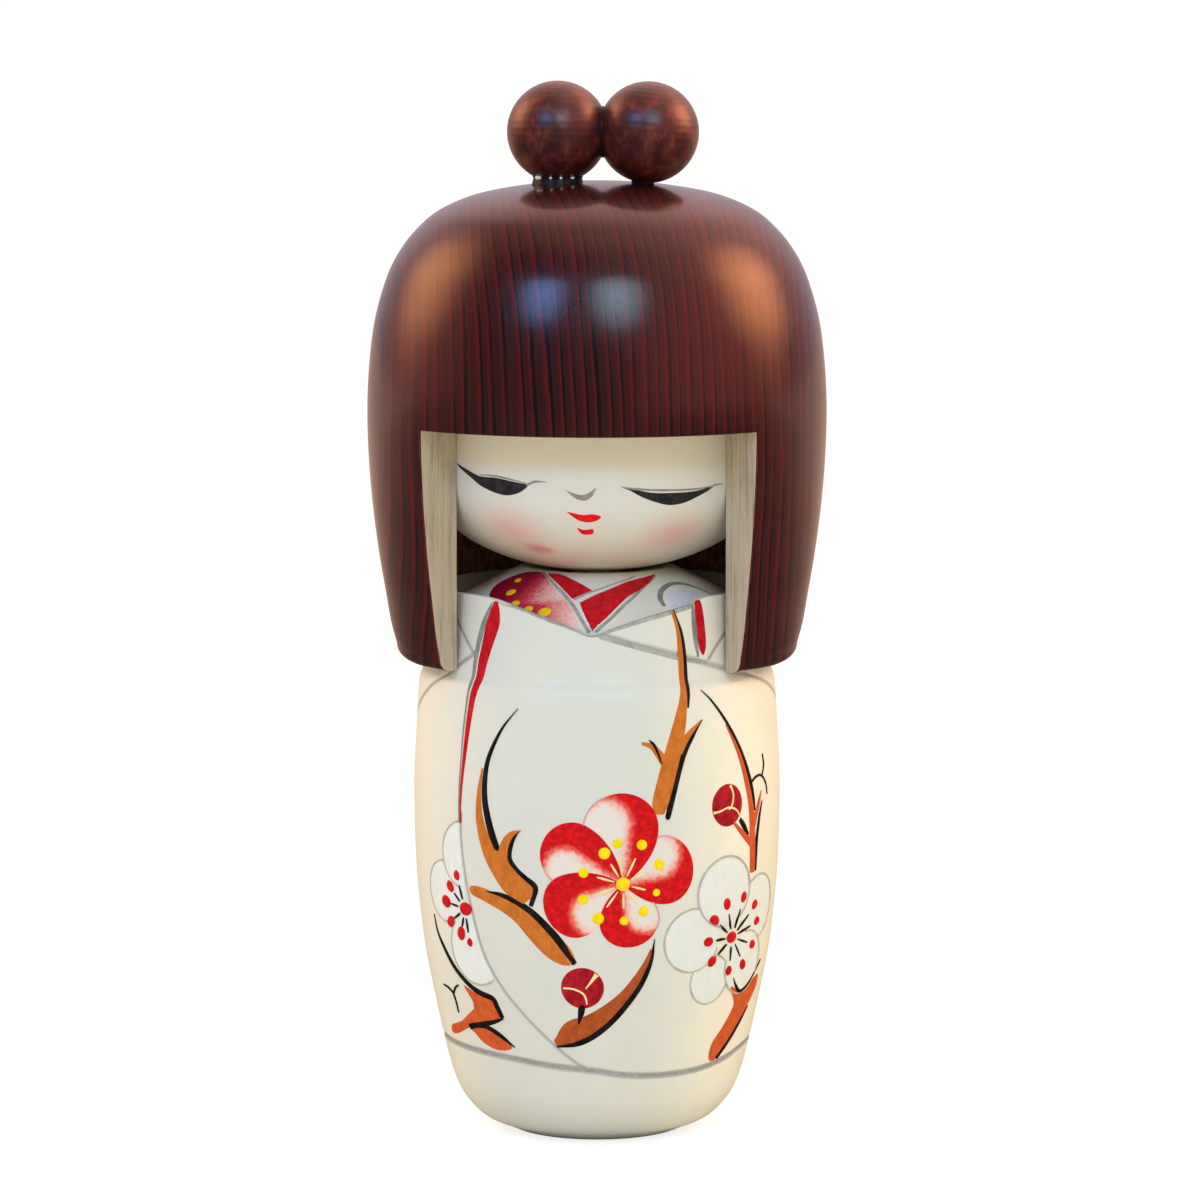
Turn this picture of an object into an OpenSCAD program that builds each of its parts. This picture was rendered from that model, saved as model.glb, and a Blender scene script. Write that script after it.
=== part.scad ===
// Kokeshi doll with a turned hair cap, two hair buns and a head that turns on a dowel.
// Millimetres, +Z up. The origin is the centre of the base, and the face looks along -Y.

/* [Body] */
// Radius of the flat that the doll stands on
base_r = 13.6; // [12:0.1:14]
// Widest radius of the kimono barrel
barrel_r = 29; // [28.9:0.05:29.2]
// Height of the kimono's top edge at the sides
shoulder_z = 86.7; // [86.4:0.1:87]
// Thickness of the kimono's carved top edge
kimono_edge = 1; // [0.6:0.1:1.2]
// Height of the point of the V cut in the kimono's front
neckline_z = 81.3; // [80.5:0.1:82]

/* [Head] */
// Radius of the head
head_r = 27.1; // [26.9:0.05:27.15]
// Height of the widest ring, where the chin starts
cheek_z = 104; // [103.5:0.1:104.5]
// Depth of the chin below the widest ring
chin_drop = 15; // [14.5:0.1:15]

/* [Hair cap] */
// Radius of the bore that the head is glued in
cap_bore_r = 27.2; // [27.2:0.01:27.25]
// Widest radius of the hair
cap_r = 36.15; // [35.9:0.05:36.4]
// Height of the hair's lower rim
rim_z = 75; // [74.9:0.1:75.5]
// Height of the straight fringe
fringe_z = 113; // [108:0.5:116]
// Half width of the face window at its inner edge
window_half_w = 20.9; // [19:0.1:22]
// Flare of the window's cut sides, from straight ahead
window_flare = 32.3; // [20:0.1:38]

/* [Buns] */
// Radius of each bun
bun_r = 7.95; // [7.6:0.05:8]
// Outward lean of the right bun
bun_lean = 6.2; // [4:0.1:8]
// How far the buns stand in front of the cap's axis
bun_forward = 2; // [0:0.5:4]

/* [Dowels] */
// Radius of the neck dowel
neck_dowel_r = 4; // [3:0.1:5]
// Radius of the pegs under the buns
peg_r = 1.55; // [1:0.05:2]
// Radial clearance of a turning fit
turning_gap = 0.06; // [0.03:0.01:0.09]
// Radial clearance of a glued fit
glue_gap = 0.05; // [0.02:0.01:0.09]

/* [Hidden] */
$fn = 128;

// Steps that each stretch of a turned outline is divided into
curve_steps = 5;

// Turned outlines, each point as [radius, height]
barrel_profile = [
    [base_r, 0], [15.6, 0.9], [18.1, 2], [20.3, 4], [22.2, 7], [23.8, 12], [25.6, 20],
    [27.5, 30], [28.7, 42], [barrel_r, 55], [28.6, 64], [28.2, 71], [27.75, 73],
    [26.8, 75], [26.1, 80], [25.3, shoulder_z]
];
neck_profile = [
    [24.3, shoulder_z - 5.6], [23.2, 83.2], [20.4, 85.3], [16.5, 87.4], [13.3, 89], [11.8, 89.6]
];
cap_profile = [
    [31.7, rim_z + 2.5], [32.6, 81], [33.45, 86], [34.45, 92], [35.45, 100], [36.03, 108],
    [cap_r, 116], [35.6, 124], [34.6, 130], [32.7, 136], [30.5, 140], [28, 143], [25, 145.5],
    [20.5, 147.6], [15.4, 148.9], [8, 149.9], [0, 150.2]
];
rim_round = 2.5;
rim_inner_chamfer = 0.5;

// Neck: a shallow dish under the chin, with the dowel's bore in its middle
dish_z = 88.6;
body_bore_z = 70;
dowel_bottom_z = 70.5;
dowel_top_z = 110;
head_bore_z = 110.5;
dowel_chamfer = 0.6;

// Head and cap inside
cap_ceiling_z = 130;
head_top_z = 129.8;
chin_steps = 24;

// Face window
window_in_y = sqrt(pow(cap_bore_r, 2) - pow(window_half_w, 2));
window_out_y = 40;
window_overlap = 1;

// Bun seats, where the pegs' axes meet the top of the cap
seat_left = [-6.05, -bun_forward, 149.93];
seat_right = [7.25, -bun_forward, 149.9];
bun_stand = 8.05;
// Where the buns' flats are glued together, and a block larger than a bun that cuts them
bun_meet_x = 1.03;
flat_block = 20;
peg_below = 5.4;
peg_above = 7;
peg_bore_extra = 0.3;

body_color = "#f1efe6";
head_color = "#f3ead8";
hair_color = "#4a1c18";
bun_color = "#5e2a20";
dowel_color = "#c9a777";

// Catmull-Rom tangent at point i of a list
function tangent(p, i) =
    i == 0 ? p[1] - p[0] :
    i == len(p) - 1 ? p[i] - p[i - 1] : (p[i + 1] - p[i - 1]) / 2;

// A smooth curve through the points of a list
function through(p) = concat(
    [for (i = [0:len(p) - 2], k = [0:curve_steps - 1])
        let (t = k / curve_steps, a = tangent(p, i), b = tangent(p, i + 1))
        p[i] * (2 * pow(t, 3) - 3 * pow(t, 2) + 1) + a * (pow(t, 3) - 2 * pow(t, 2) + t)
        + p[i + 1] * (3 * pow(t, 2) - 2 * pow(t, 3)) + b * (pow(t, 3) - pow(t, 2))],
    [p[len(p) - 1]]);

// Points of an arc in the [radius, height] plane
function arc(centre, r, from, to, steps) =
    [for (k = [0:steps]) centre + r * [cos(from + (to - from) * k / steps),
                                       sin(from + (to - from) * k / steps)]];

// A round pin along +Z with both ends chamfered
module pin(r, length) {
    rotate_extrude()
        polygon([[0, 0], [r - dowel_chamfer, 0], [r, dowel_chamfer],
                 [r, length - dowel_chamfer], [r - dowel_chamfer, length], [0, length]]);
}

// Places its children on a peg's axis, with +Z along the peg and the origin at the seat
module at_seat(seat, lean) {
    translate(seat) rotate([0, lean, 0]) children();
}

// A drilled ball, with a flat on its +X side (side 1) or its -X side (side -1)
module bun(seat, lean, side) {
    difference() {
        at_seat(seat, lean)
            difference() {
                translate([0, 0, bun_stand]) sphere(r = bun_r);
                cylinder(r = peg_r + glue_gap, h = peg_above + peg_bore_extra);
            }
        translate([bun_meet_x + side * (flat_block - glue_gap) / 2, -bun_forward,
                   seat_left.z + bun_stand])
            cube(flat_block, center = true);
    }
}

module bun_dowel(seat, lean) {
    at_seat(seat, lean)
        translate([0, 0, -peg_below])
            pin(peg_r, peg_below + peg_above);
}

module peg_bore(seat, lean) {
    depth = peg_below + peg_bore_extra;
    at_seat(seat, lean)
        translate([0, 0, -depth])
            cylinder(r = peg_r + glue_gap, h = depth + bun_stand);
}

// The V of the neckline, as a prism that crosses the kimono's front edge
module neckline() {
    half_w = 17;
    rise = shoulder_z - neckline_z;
    rotate([90, 0, 0])
        linear_extrude(height = 2 * barrel_r)
            polygon([[0, neckline_z], [half_w, neckline_z + rise], [half_w, shoulder_z + 5],
                     [-half_w, shoulder_z + 5], [-half_w, neckline_z + rise]]);
}

// The kimono's shell, without the neck inside it
module kimono_shell() {
    difference() {
        cylinder(r = barrel_r + 1, h = shoulder_z + 10);
        translate([0, 0, -1])
            cylinder(r = neck_profile[0][0], h = shoulder_z + 12);
    }
}

module body() {
    color(body_color)
        difference() {
            rotate_extrude()
                polygon(concat([[0, 0]], through(barrel_profile),
                               [[25.3 - kimono_edge, shoulder_z + 0.2]], through(neck_profile),
                               [[neck_dowel_r + turning_gap, dish_z], [0, dish_z]]));
            translate([0, 0, body_bore_z])
                cylinder(r = neck_dowel_r + turning_gap, h = shoulder_z);
            intersection() {
                neckline();
                kimono_shell();
            }
        }
}

module neck_dowel() {
    color(dowel_color)
        translate([0, 0, dowel_bottom_z])
            pin(neck_dowel_r, dowel_top_z - dowel_bottom_z);
}

module head() {
    chin = [for (k = [0:chin_steps])
        let (a = 90 * k / chin_steps) [head_r * sin(a), cheek_z - chin_drop * cos(a)]];
    color(head_color)
        difference() {
            rotate_extrude()
                polygon(concat(chin, [[head_r, head_top_z], [0, head_top_z]]));
            translate([0, 0, cheek_z - chin_drop - 1])
                cylinder(r = neck_dowel_r + glue_gap, h = head_bore_z - cheek_z + chin_drop + 1);
        }
}

// The cutter that opens the hair in front of the face, wider towards the front
module face_window() {
    flare = tan(window_flare);
    in_y = window_in_y - window_overlap;
    in_w = window_half_w - window_overlap * flare;
    out_w = window_half_w + (window_out_y - window_in_y) * flare;
    translate([0, 0, rim_z - 1])
        linear_extrude(height = fringe_z - rim_z + 1)
            polygon([[-in_w, -in_y], [-out_w, -window_out_y], [out_w, -window_out_y],
                     [in_w, -in_y]]);
}

module hair_cap() {
    rim = arc([31.7 - rim_round, rim_z + rim_round], rim_round, -90, 0, 6);
    bore_edge = [[cap_bore_r, cap_ceiling_z], [cap_bore_r, rim_z + rim_inner_chamfer],
                 [cap_bore_r + rim_inner_chamfer, rim_z]];
    color(hair_color)
        difference() {
            rotate_extrude()
                polygon(concat([[0, cap_ceiling_z]], bore_edge,
                               [for (k = [0:len(rim) - 2]) rim[k]], through(cap_profile)));
            face_window();
            peg_bore(seat_left, 0);
            peg_bore(seat_right, bun_lean);
        }
}

module bun_left() {
    color(bun_color) bun(seat_left, 0, 1);
}

module bun_right() {
    color(bun_color) bun(seat_right, bun_lean, -1);
}

module bun_dowel_left() {
    color(dowel_color) bun_dowel(seat_left, 0);
}

module bun_dowel_right() {
    color(dowel_color) bun_dowel(seat_right, bun_lean);
}

body();
neck_dowel();
head();
hair_cap();
bun_left();
bun_right();
bun_dowel_left();
bun_dowel_right();
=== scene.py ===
"""Looks of the kokeshi doll: turned wood, carved and painted kimono, lacquered hair.

Lengths are in millimetres until Sketch.piece() turns them into metres.
Painting is placed by (angle, height): degrees round the axis from the face, positive towards +X,
and millimetres above the base.
"""

import math

import bmesh
import bpy
import numpy as np
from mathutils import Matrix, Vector


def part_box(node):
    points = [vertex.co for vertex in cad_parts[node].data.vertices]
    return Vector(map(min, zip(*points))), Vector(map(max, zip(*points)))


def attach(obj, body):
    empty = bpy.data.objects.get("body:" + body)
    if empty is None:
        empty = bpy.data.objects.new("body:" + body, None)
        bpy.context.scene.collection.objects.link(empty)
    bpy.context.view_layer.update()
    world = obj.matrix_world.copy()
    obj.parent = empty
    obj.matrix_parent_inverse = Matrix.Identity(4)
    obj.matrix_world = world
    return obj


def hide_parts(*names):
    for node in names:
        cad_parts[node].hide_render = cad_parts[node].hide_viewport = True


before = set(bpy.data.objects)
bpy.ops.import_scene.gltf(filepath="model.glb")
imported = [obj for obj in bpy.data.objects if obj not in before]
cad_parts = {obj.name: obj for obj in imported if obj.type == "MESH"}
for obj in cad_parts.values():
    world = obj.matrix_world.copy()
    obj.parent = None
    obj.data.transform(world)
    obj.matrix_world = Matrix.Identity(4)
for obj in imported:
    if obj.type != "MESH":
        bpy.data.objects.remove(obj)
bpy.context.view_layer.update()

MM = 0.001
WELD, SHARP_DEGREES = 0.001, 40
BASE, HEAD_UNIT = "base", "head_unit"


# ---------------------------------------------------------------- curves and turned surfaces

def through(points, steps=8, closed=False):
    """A smooth Catmull-Rom curve through rows of numbers."""
    p = np.array(points, float)
    n = len(p)
    if closed:
        tangents = (np.roll(p, -1, 0) - np.roll(p, 1, 0)) / 2
        spans = n
    else:
        tangents = np.gradient(p, axis=0)
        spans = n - 1
    t = np.linspace(0, 1, steps, endpoint=False)[:, None]
    rows = []
    for i in range(spans):
        a, b = p[i], p[(i + 1) % n]
        ta, tb = tangents[i], tangents[(i + 1) % n]
        rows.append(a * (2 * t**3 - 3 * t**2 + 1) + ta * (t**3 - 2 * t**2 + t)
                    + b * (3 * t**2 - 2 * t**3) + tb * (t**3 - t**2))
    if not closed:
        rows.append(p[-1:])
    return np.concatenate(rows)


def smoothstep(x, low, high):
    t = np.clip((x - low) / (high - low), 0, 1)
    return t * t * (3 - 2 * t)


class Turned:
    """A surface turned about the Z axis, from (radius, height) stations in order of height."""

    def __init__(self, stations, steps=12):
        line = through(stations, steps)
        self.r, self.z = line[:, 0], line[:, 1]
        lengths = np.hypot(np.diff(self.r), np.diff(self.z))
        self.along = np.concatenate([[0], np.cumsum(lengths)])
        dr, dz = np.gradient(self.r, self.along), np.gradient(self.z, self.along)
        size = np.hypot(dr, dz)
        self.nr, self.nz = dz / size, -dr / size

    def length_at(self, height):
        return np.interp(height, self.z, self.along)

    def height_at(self, along):
        return np.interp(along, self.along, self.z)

    def radius_at(self, height):
        return np.interp(height, self.z, self.r)

    def place(self, degrees, along, lift):
        """Points at an angle and a distance along the outline, lifted off the surface."""
        angle = np.radians(degrees)
        r = np.interp(along, self.along, self.r) + lift * np.interp(along, self.along, self.nr)
        z = np.interp(along, self.along, self.z) + lift * np.interp(along, self.along, self.nz)
        return np.stack([r * np.sin(angle), -r * np.cos(angle), z], -1)

    def flat(self, points):
        """(angle, height) points as (angle, distance along the outline)."""
        p = np.array(points, float)
        p[:, 1] = self.length_at(p[:, 1])
        return p

    def per_degree(self, along):
        """Millimetres round the surface in one degree."""
        return np.interp(along, self.along, self.r) * math.pi / 180


# The barrel of the kimono, the neck inside it, and the head: the same stations as the CAD part
BARREL = [(13.6, 0), (15.6, 0.9), (18.1, 2), (20.3, 4), (22.2, 7), (23.8, 12), (25.6, 20),
          (27.5, 30), (28.7, 42), (29, 55), (28.6, 64), (28.2, 71), (27.75, 73), (26.8, 75),
          (26.1, 80), (25.3, 86.7)]
NECK = [(25.3, 80.1), (24.3, 81.1), (23.2, 83.2), (20.4, 85.3), (16.5, 87.4), (13.3, 89),
        (11.8, 89.6)]
CAP = [(31.7, 77.5), (32.6, 81), (33.45, 86), (34.45, 92), (35.45, 100), (36.03, 108),
       (36.15, 116), (35.6, 124), (34.6, 130), (32.7, 136), (30.5, 140), (28, 143), (25, 145.5),
       (20.5, 147.6), (15.4, 148.9), (8, 149.9), (0, 150.2)]
HEAD_R, CHEEK_Z, CHIN_DROP, HEAD_TOP = 27.1, 104.0, 15.0, 129.8
CAP_BORE, RIM_R, RIM_Z, RIM_ROUND, FRINGE_Z, CAP_CEILING = 27.2, 31.7, 75.0, 2.5, 113.0, 130.0
WINDOW_HALF, WINDOW_FLARE = 20.9, math.tan(math.radians(32.3))
BUN_R = 7.95

chin = [(HEAD_R * math.sin(a), CHEEK_Z - CHIN_DROP * math.cos(a))
        for a in np.linspace(0.1, math.pi / 2, 24)]
barrel = Turned(BARREL)
neck = Turned(NECK)
face = Turned(chin + [(HEAD_R, CHEEK_Z + 4), (HEAD_R, HEAD_TOP)], steps=6)


# ---------------------------------------------------------------- meshes

class Sketch:
    """Collects points, faces, material numbers and a shade for each point, then becomes a piece."""

    def __init__(self):
        self.points, self.faces, self.paints, self.shades = [], [], [], []
        self.count = 0

    def add(self, points, faces, paint=0, shade=0.0):
        points = np.asarray(points, float).reshape(-1, 3)
        self.points.append(points)
        self.shades.append(np.broadcast_to(np.asarray(shade, float).ravel(), (len(points),))
                           if np.size(shade) == 1 else np.asarray(shade, float).ravel())
        self.faces.extend([[i + self.count for i in f] for f in faces])
        self.paints.extend([paint] * len(faces))
        self.count += len(points)

    def piece(self, name, body, slot, materials, replaces=(), turn_out=True):
        points = np.concatenate(self.points) * MM
        mesh = bpy.data.meshes.new(name)
        mesh.from_pydata(points.tolist(), [], self.faces)
        for material in materials:
            mesh.materials.append(material)
        mesh.polygons.foreach_set("material_index", self.paints)
        mesh.polygons.foreach_set("use_smooth", [True] * len(self.faces))
        shade = mesh.attributes.new("shade", "FLOAT", "POINT")
        shade.data.foreach_set("value", np.concatenate(self.shades).astype(np.float32))
        mesh.validate()
        shell = bmesh.new()
        shell.from_mesh(mesh)
        bmesh.ops.remove_doubles(shell, verts=shell.verts, dist=WELD * MM)
        if turn_out:
            bmesh.ops.recalc_face_normals(shell, faces=shell.faces)
        shell.to_mesh(mesh)
        shell.free()
        mesh.set_sharp_from_angle(angle=math.radians(SHARP_DEGREES))
        piece = bpy.data.objects.new(name, mesh)
        bpy.context.scene.collection.objects.link(piece)
        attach(piece, body)
        if replaces:
            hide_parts(*replaces)
        return piece


def grid_faces(rows, columns, wrap=False, first=0):
    """Quads of a grid of points stored row by row; wrap joins the last column to the first."""
    r = np.arange(rows - 1)[:, None]
    c = np.arange(columns if wrap else columns - 1)[None, :]
    right = (c + 1) % columns
    a, b = r * columns + c, r * columns + right
    quads = np.stack([a, b, b + columns, a + columns], -1).reshape(-1, 4) + first
    return quads.tolist()


def close_on_axis(points, faces, columns, low, high):
    """Joins the first and the last ring of a grid to points on the axis at two heights."""
    first, last = len(points), len(points) - columns
    for c in range(columns):
        after = (c + 1) % columns
        faces.append([first, after, c])
        faces.append([first + 1, last + c, last + after])
    return np.vstack([points, [0, 0, low], [0, 0, high]]), faces


def revolve(profile, columns=256):
    """Points and faces of a closed turned solid, whose outline starts and ends on the axis."""
    ring = np.array(profile[1:-1], float)
    angle = np.linspace(0, 2 * math.pi, columns, endpoint=False)
    x = ring[:, 0:1] * np.sin(angle)
    y = -ring[:, 0:1] * np.cos(angle)
    z = np.broadcast_to(ring[:, 1:2], x.shape)
    points = np.stack([x, y, z], -1).reshape(-1, 3)
    faces = grid_faces(len(ring), columns, wrap=True)
    return close_on_axis(points, faces, columns, profile[0][1], profile[-1][1])


# Paint starts a little under the surface. Spacing of a stroke's rings, and its least width
PAINT_SINK, STROKE_STEP, NARROWEST = 0.06, 0.35, 0.05


def stroke(sketch, surface, route, height=0.1, across=5, paint=0):
    """A brush stroke of varying width along (angle, height, width) stations on a surface."""
    rough = through(surface.flat(route), 16)
    per = surface.per_degree(rough[:, 1])
    length = np.hypot(np.diff(rough[:, 0]) * per[1:], np.diff(rough[:, 1]))
    total = np.concatenate([[0], np.cumsum(length)])
    count = max(4, int(total[-1] / STROKE_STEP))
    at = np.linspace(0, total[-1], count + 1)
    deg, along, width = [np.interp(at, total, rough[:, k]) for k in range(3)]
    per = surface.per_degree(along)
    du, dv = np.gradient(deg) * per, np.gradient(along)
    size = np.hypot(du, dv)
    nu, nv = -dv / size, du / size
    half = np.maximum(width, NARROWEST) / 2
    side = np.linspace(-1, 1, across)
    top = height * np.sqrt(np.maximum(0, 1 - side**2 * 0.96)) - PAINT_SINK * (np.abs(side) == 1)
    side = np.concatenate([side, side[-2:0:-1]])
    lift = np.concatenate([top, np.full(across - 2, -PAINT_SINK)])
    d = deg[:, None] + side * (half * nu / per)[:, None]
    a = along[:, None] + side * (half * nv)[:, None]
    points = surface.place(d, a, np.broadcast_to(lift, d.shape))
    loop = len(side)
    faces = grid_faces(len(deg), loop, wrap=True)
    faces.append(list(range(loop))[::-1])
    faces.append([(len(deg) - 1) * loop + i for i in range(loop)])
    sketch.add(points, [f[::-1] for f in faces], paint)


def dab(sketch, surface, centre, outline, height=0.1, rings=6, paint=0, shade=None, lift=None):
    """A raised patch of paint, filled from its centre out to a closed outline of (mm, mm) offsets.

    shade and lift are functions of the offset (u, v) from the centre in millimetres.
    """
    (deg0, along0), = surface.flat([centre])[:, :2]
    per = float(surface.per_degree(along0))
    edge = np.array(outline, float)
    share = np.linspace(0, 1, rings + 1)[1:]
    u = np.concatenate([[0], (share[:, None] * edge[:, 0]).ravel()])
    v = np.concatenate([[0], (share[:, None] * edge[:, 1]).ravel()])
    t = np.concatenate([[0], np.repeat(share, len(edge))])
    rise = height * np.sqrt(np.maximum(0, 1 - t**6))
    if lift is not None:
        rise = rise + lift(u, v)
    points = surface.place(deg0 + u / per, along0 + v, rise)
    n = len(edge)
    faces = [[0, 1 + (c + 1) % n, 1 + c] for c in range(n)]
    faces += [f[::-1] for f in grid_faces(rings, n, wrap=True, first=1)]
    rim = 1 + (rings - 1) * n
    low = surface.place(deg0 + edge[:, 0] / per, along0 + edge[:, 1], np.full(n, -PAINT_SINK))
    under = surface.place(np.array([deg0]), np.array([along0]), np.array([-PAINT_SINK * 2]))
    base = len(points)
    faces += [[rim + c, rim + (c + 1) % n, base + (c + 1) % n, base + c] for c in range(n)]
    faces += [[base + c, base + (c + 1) % n, base + n] for c in range(n)]
    tone = np.zeros(len(points)) if shade is None else shade(u, v)
    tone = np.concatenate([tone, tone[rim:rim + n], tone[:1]])
    sketch.add(np.vstack([points, low, under]), [f[::-1] for f in faces], paint, tone)


def circle(radius_u, radius_v=None, count=32, turn=0.0):
    """An ellipse of offsets, turned by some degrees."""
    radius_v = radius_u if radius_v is None else radius_v
    a = np.linspace(0, 2 * math.pi, count, endpoint=False)
    u, v = radius_u * np.cos(a), radius_v * np.sin(a)
    c, s = math.cos(math.radians(turn)), math.sin(math.radians(turn))
    return np.stack([u * c - v * s, u * s + v * c], -1)


def outline_round(surface, centre, corners, steps=6):
    """Offsets from centre of a closed smooth outline through (angle, height) points."""
    p = surface.flat(corners)
    (deg0, along0), = surface.flat([centre])[:, :2]
    per = float(surface.per_degree(along0))
    return through(np.stack([(p[:, 0] - deg0) * per, p[:, 1] - along0], -1), steps, closed=True)


# ---------------------------------------------------------------- materials

class Nodes:
    """Short ways to add nodes to a node tree and join them up."""

    def __init__(self, tree):
        self.tree = tree

    def node(self, kind, **settings):
        node = self.tree.nodes.new("ShaderNode" + kind)
        for key, value in settings.items():
            setattr(node, key, value)
        return node

    def put(self, socket, value):
        """Joins a socket to another one, or sets it to a value; a colour gets its alpha here."""
        if isinstance(value, bpy.types.NodeSocket):
            self.tree.links.new(value, socket)
        else:
            socket.default_value = (*value, 1) if socket.type == "RGBA" else value

    def add(self, kind, inputs, output=0, **settings):
        """The output of a new node whose inputs, by name or number, are joined or set."""
        node = self.node(kind, **settings)
        for name, value in inputs.items():
            self.put(node.inputs[name], value)
        return node.outputs[output]

    def math(self, operation, a, b=0.0):
        return self.add("Math", {0: a, 1: b}, operation=operation)

    def plus(self, a, b):
        return self.math("ADD", a, b)

    def minus(self, a, b):
        return self.math("SUBTRACT", a, b)

    def times(self, a, b):
        return self.math("MULTIPLY", a, b)

    def vector(self, operation, a, b):
        return self.add("VectorMath", {0: a, 1: b}, operation=operation)

    def part(self, vector, axis):
        return self.add("SeparateXYZ", {0: vector}, axis)

    def blend(self, share, a, b):
        return self.add("Mix", {0: share, 6: a, 7: b}, 2, data_type="RGBA")

    def band(self, value, low, high):
        """0 below low, 1 above high and smooth between."""
        return self.add("MapRange", {"Value": value, "From Min": low, "From Max": high},
                        interpolation_type="SMOOTHSTEP")


class Shader(Nodes):
    """A Principled material with a place in millimetres and procedural detail."""

    def __init__(self, name, roughness=0.5, coat=0.0, coat_roughness=0.2, specular=0.5):
        self.material = bpy.data.materials.new(name)
        self.material.use_nodes = True
        super().__init__(self.material.node_tree)
        self.surface = self.tree.nodes["Principled BSDF"]
        for socket, value in (("Roughness", roughness), ("Coat Weight", coat),
                              ("Coat Roughness", coat_roughness), ("Specular IOR Level", specular)):
            self.put(self.surface.inputs[socket], value)
        metres = self.add("TexCoord", {}, "Object")
        self.place = self.add("VectorMath", {0: metres, "Scale": 1 / MM}, operation="SCALE")

    def noise(self, scale=1.0, factors=(1, 1, 1), detail=3.0, rough=0.5):
        """Noise with scale features to a millimetre, stretched by factors."""
        return self.add("TexNoise", {"Vector": self.vector("MULTIPLY", self.place, factors),
                                     "Scale": scale, "Detail": detail, "Roughness": rough}, "Fac")

    def ramp(self, value, *stops):
        """A colour ramp through (position, hex code) stops."""
        node = self.node("ValToRGB")
        self.put(node.inputs[0], value)
        elements = node.color_ramp.elements
        while len(elements) < len(stops):
            elements.new(1.0)
        for element, (position, code) in zip(elements, stops):
            element.position = position
            element.color = (*rgb(code), 1)
        return node.outputs[0]

    def veil(self, tint, cover, amount, code):
        """A tint with another colour over it, by amount where cover is 1."""
        return self.blend(self.times(cover, amount), tint, rgb(code))

    def uneven(self, value, noise, amount):
        """A value moved up and down by noise."""
        return self.plus(value, self.times(self.minus(noise, 0.5), amount))

    def shade(self):
        """The shade that a sketch gave to each point."""
        return self.add("Attribute", {}, "Fac", attribute_name="shade")

    def distance(self, centre, factors=(1, 1, 1)):
        """Distance from a centre, with each axis weighed by its factor."""
        offset = self.vector("ADD", self.place, tuple(-c for c in centre))
        scaled = self.vector("MULTIPLY", offset, factors)
        return self.add("VectorMath", {0: scaled}, "Value", operation="LENGTH")

    def bump(self, height, strength, distance=0.1, under_coat=True):
        """Fine relief of some millimetres; the coat follows it unless it lies smooth over it."""
        normal = self.add("Bump", {"Strength": strength, "Distance": distance * MM,
                                   "Height": height})
        self.put(self.surface.inputs["Normal"], normal)
        if not under_coat:
            self.put(self.surface.inputs["Coat Normal"], normal)

    def colour(self, value):
        self.put(self.surface.inputs["Base Color"], value)

    def roughen(self, value, low, high):
        """Roughness from low to high as value goes from 0 to 1."""
        spread = self.add("MapRange", {"Value": value, "To Min": low, "To Max": high})
        self.put(self.surface.inputs["Roughness"], spread)


def rgb(code):
    """Linear colour from a hex code."""
    values = [int(code[i:i + 2], 16) / 255 for i in (0, 2, 4)]
    return tuple(v / 12.92 if v <= 0.04045 else ((v + 0.055) / 1.055) ** 2.4 for v in values)


def paint_material(name, code, depth=0.08, roughness=0.45, coat=0.04):
    """Brushed paint: pigment gathers in streaks and the brush leaves fine ridges."""
    s = Shader(name, roughness, coat, 0.25, 0.12)
    pool = s.noise(0.9, (1, 1, 0.6), 4)
    streak = s.noise(5.0, (1, 1, 0.35), 2)
    dark = tuple(c * (1 - 2.2 * depth) for c in rgb(code))
    light = tuple(min(1, c * (1 + depth) + 0.01) for c in rgb(code))
    streaks = s.plus(s.times(pool, 0.6), s.times(streak, 0.4))
    s.colour(s.blend(s.band(streaks, 0.36, 0.62), dark, light))
    s.roughen(pool, roughness - 0.06, roughness + 0.1)
    s.bump(streak, 0.25, 0.03)
    return s.material


def kimono_material():
    """Satin off-white paint with grey worked into the carved lines, painted shade on the step at the
    neckline's V, and painted light: cooler in front where the cool front lamps fall, warm cream at the
    sides where the warm side lamps fall.
    """
    s = Shader("kimono_paint", 0.42, 0.18, 0.28)
    # Painted light: a tint by angle from the face, cool white in front, warm cream at the sides, a
    # plainer off-white at the back.
    angle = s.math("ARCTAN2", s.part(s.place, 0), s.times(s.part(s.place, 1), -1.0))
    turn = s.math("ABSOLUTE", s.plus(angle, math.radians(10)))
    tint = s.blend(s.band(turn, math.radians(22), math.radians(68)), rgb("dde1d9"), rgb("faf6e4"))
    tint = s.blend(s.band(turn, math.radians(95), math.radians(135)), tint, rgb("ebe9df"))
    cloud = s.noise(0.12, (1, 1, 0.7), 3)
    tint = s.veil(tint, s.band(cloud, 0.35, 0.75), 0.35, "ebe6d6")
    lathe = s.noise(1.0, (0.15, 0.15, 3.0), 3)
    grain = s.noise(2.2, (1, 1, 0.12), 4)
    tint = s.veil(tint, s.band(grain, 0.55, 0.8), 0.10, "d8d2c2")
    mottle = s.noise(1.6, (1, 1, 1), 3)
    grey = s.blend(s.band(mottle, 0.35, 0.7), rgb("8d8f8c"), rgb("b3b2ac"))
    # Grey where each point's shade is set: paint in the carved lines, and painted shade on the
    # neckline's step at the V.
    grey_lines_and_edge_shade = s.band(s.uneven(s.shade(), mottle, 0.45), 0.1, 1.0)
    s.colour(s.blend(grey_lines_and_edge_shade, tint, grey))
    s.roughen(cloud, 0.36, 0.5)
    s.bump(s.plus(lathe, grain), 0.18, 0.05)
    return s.material


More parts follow.
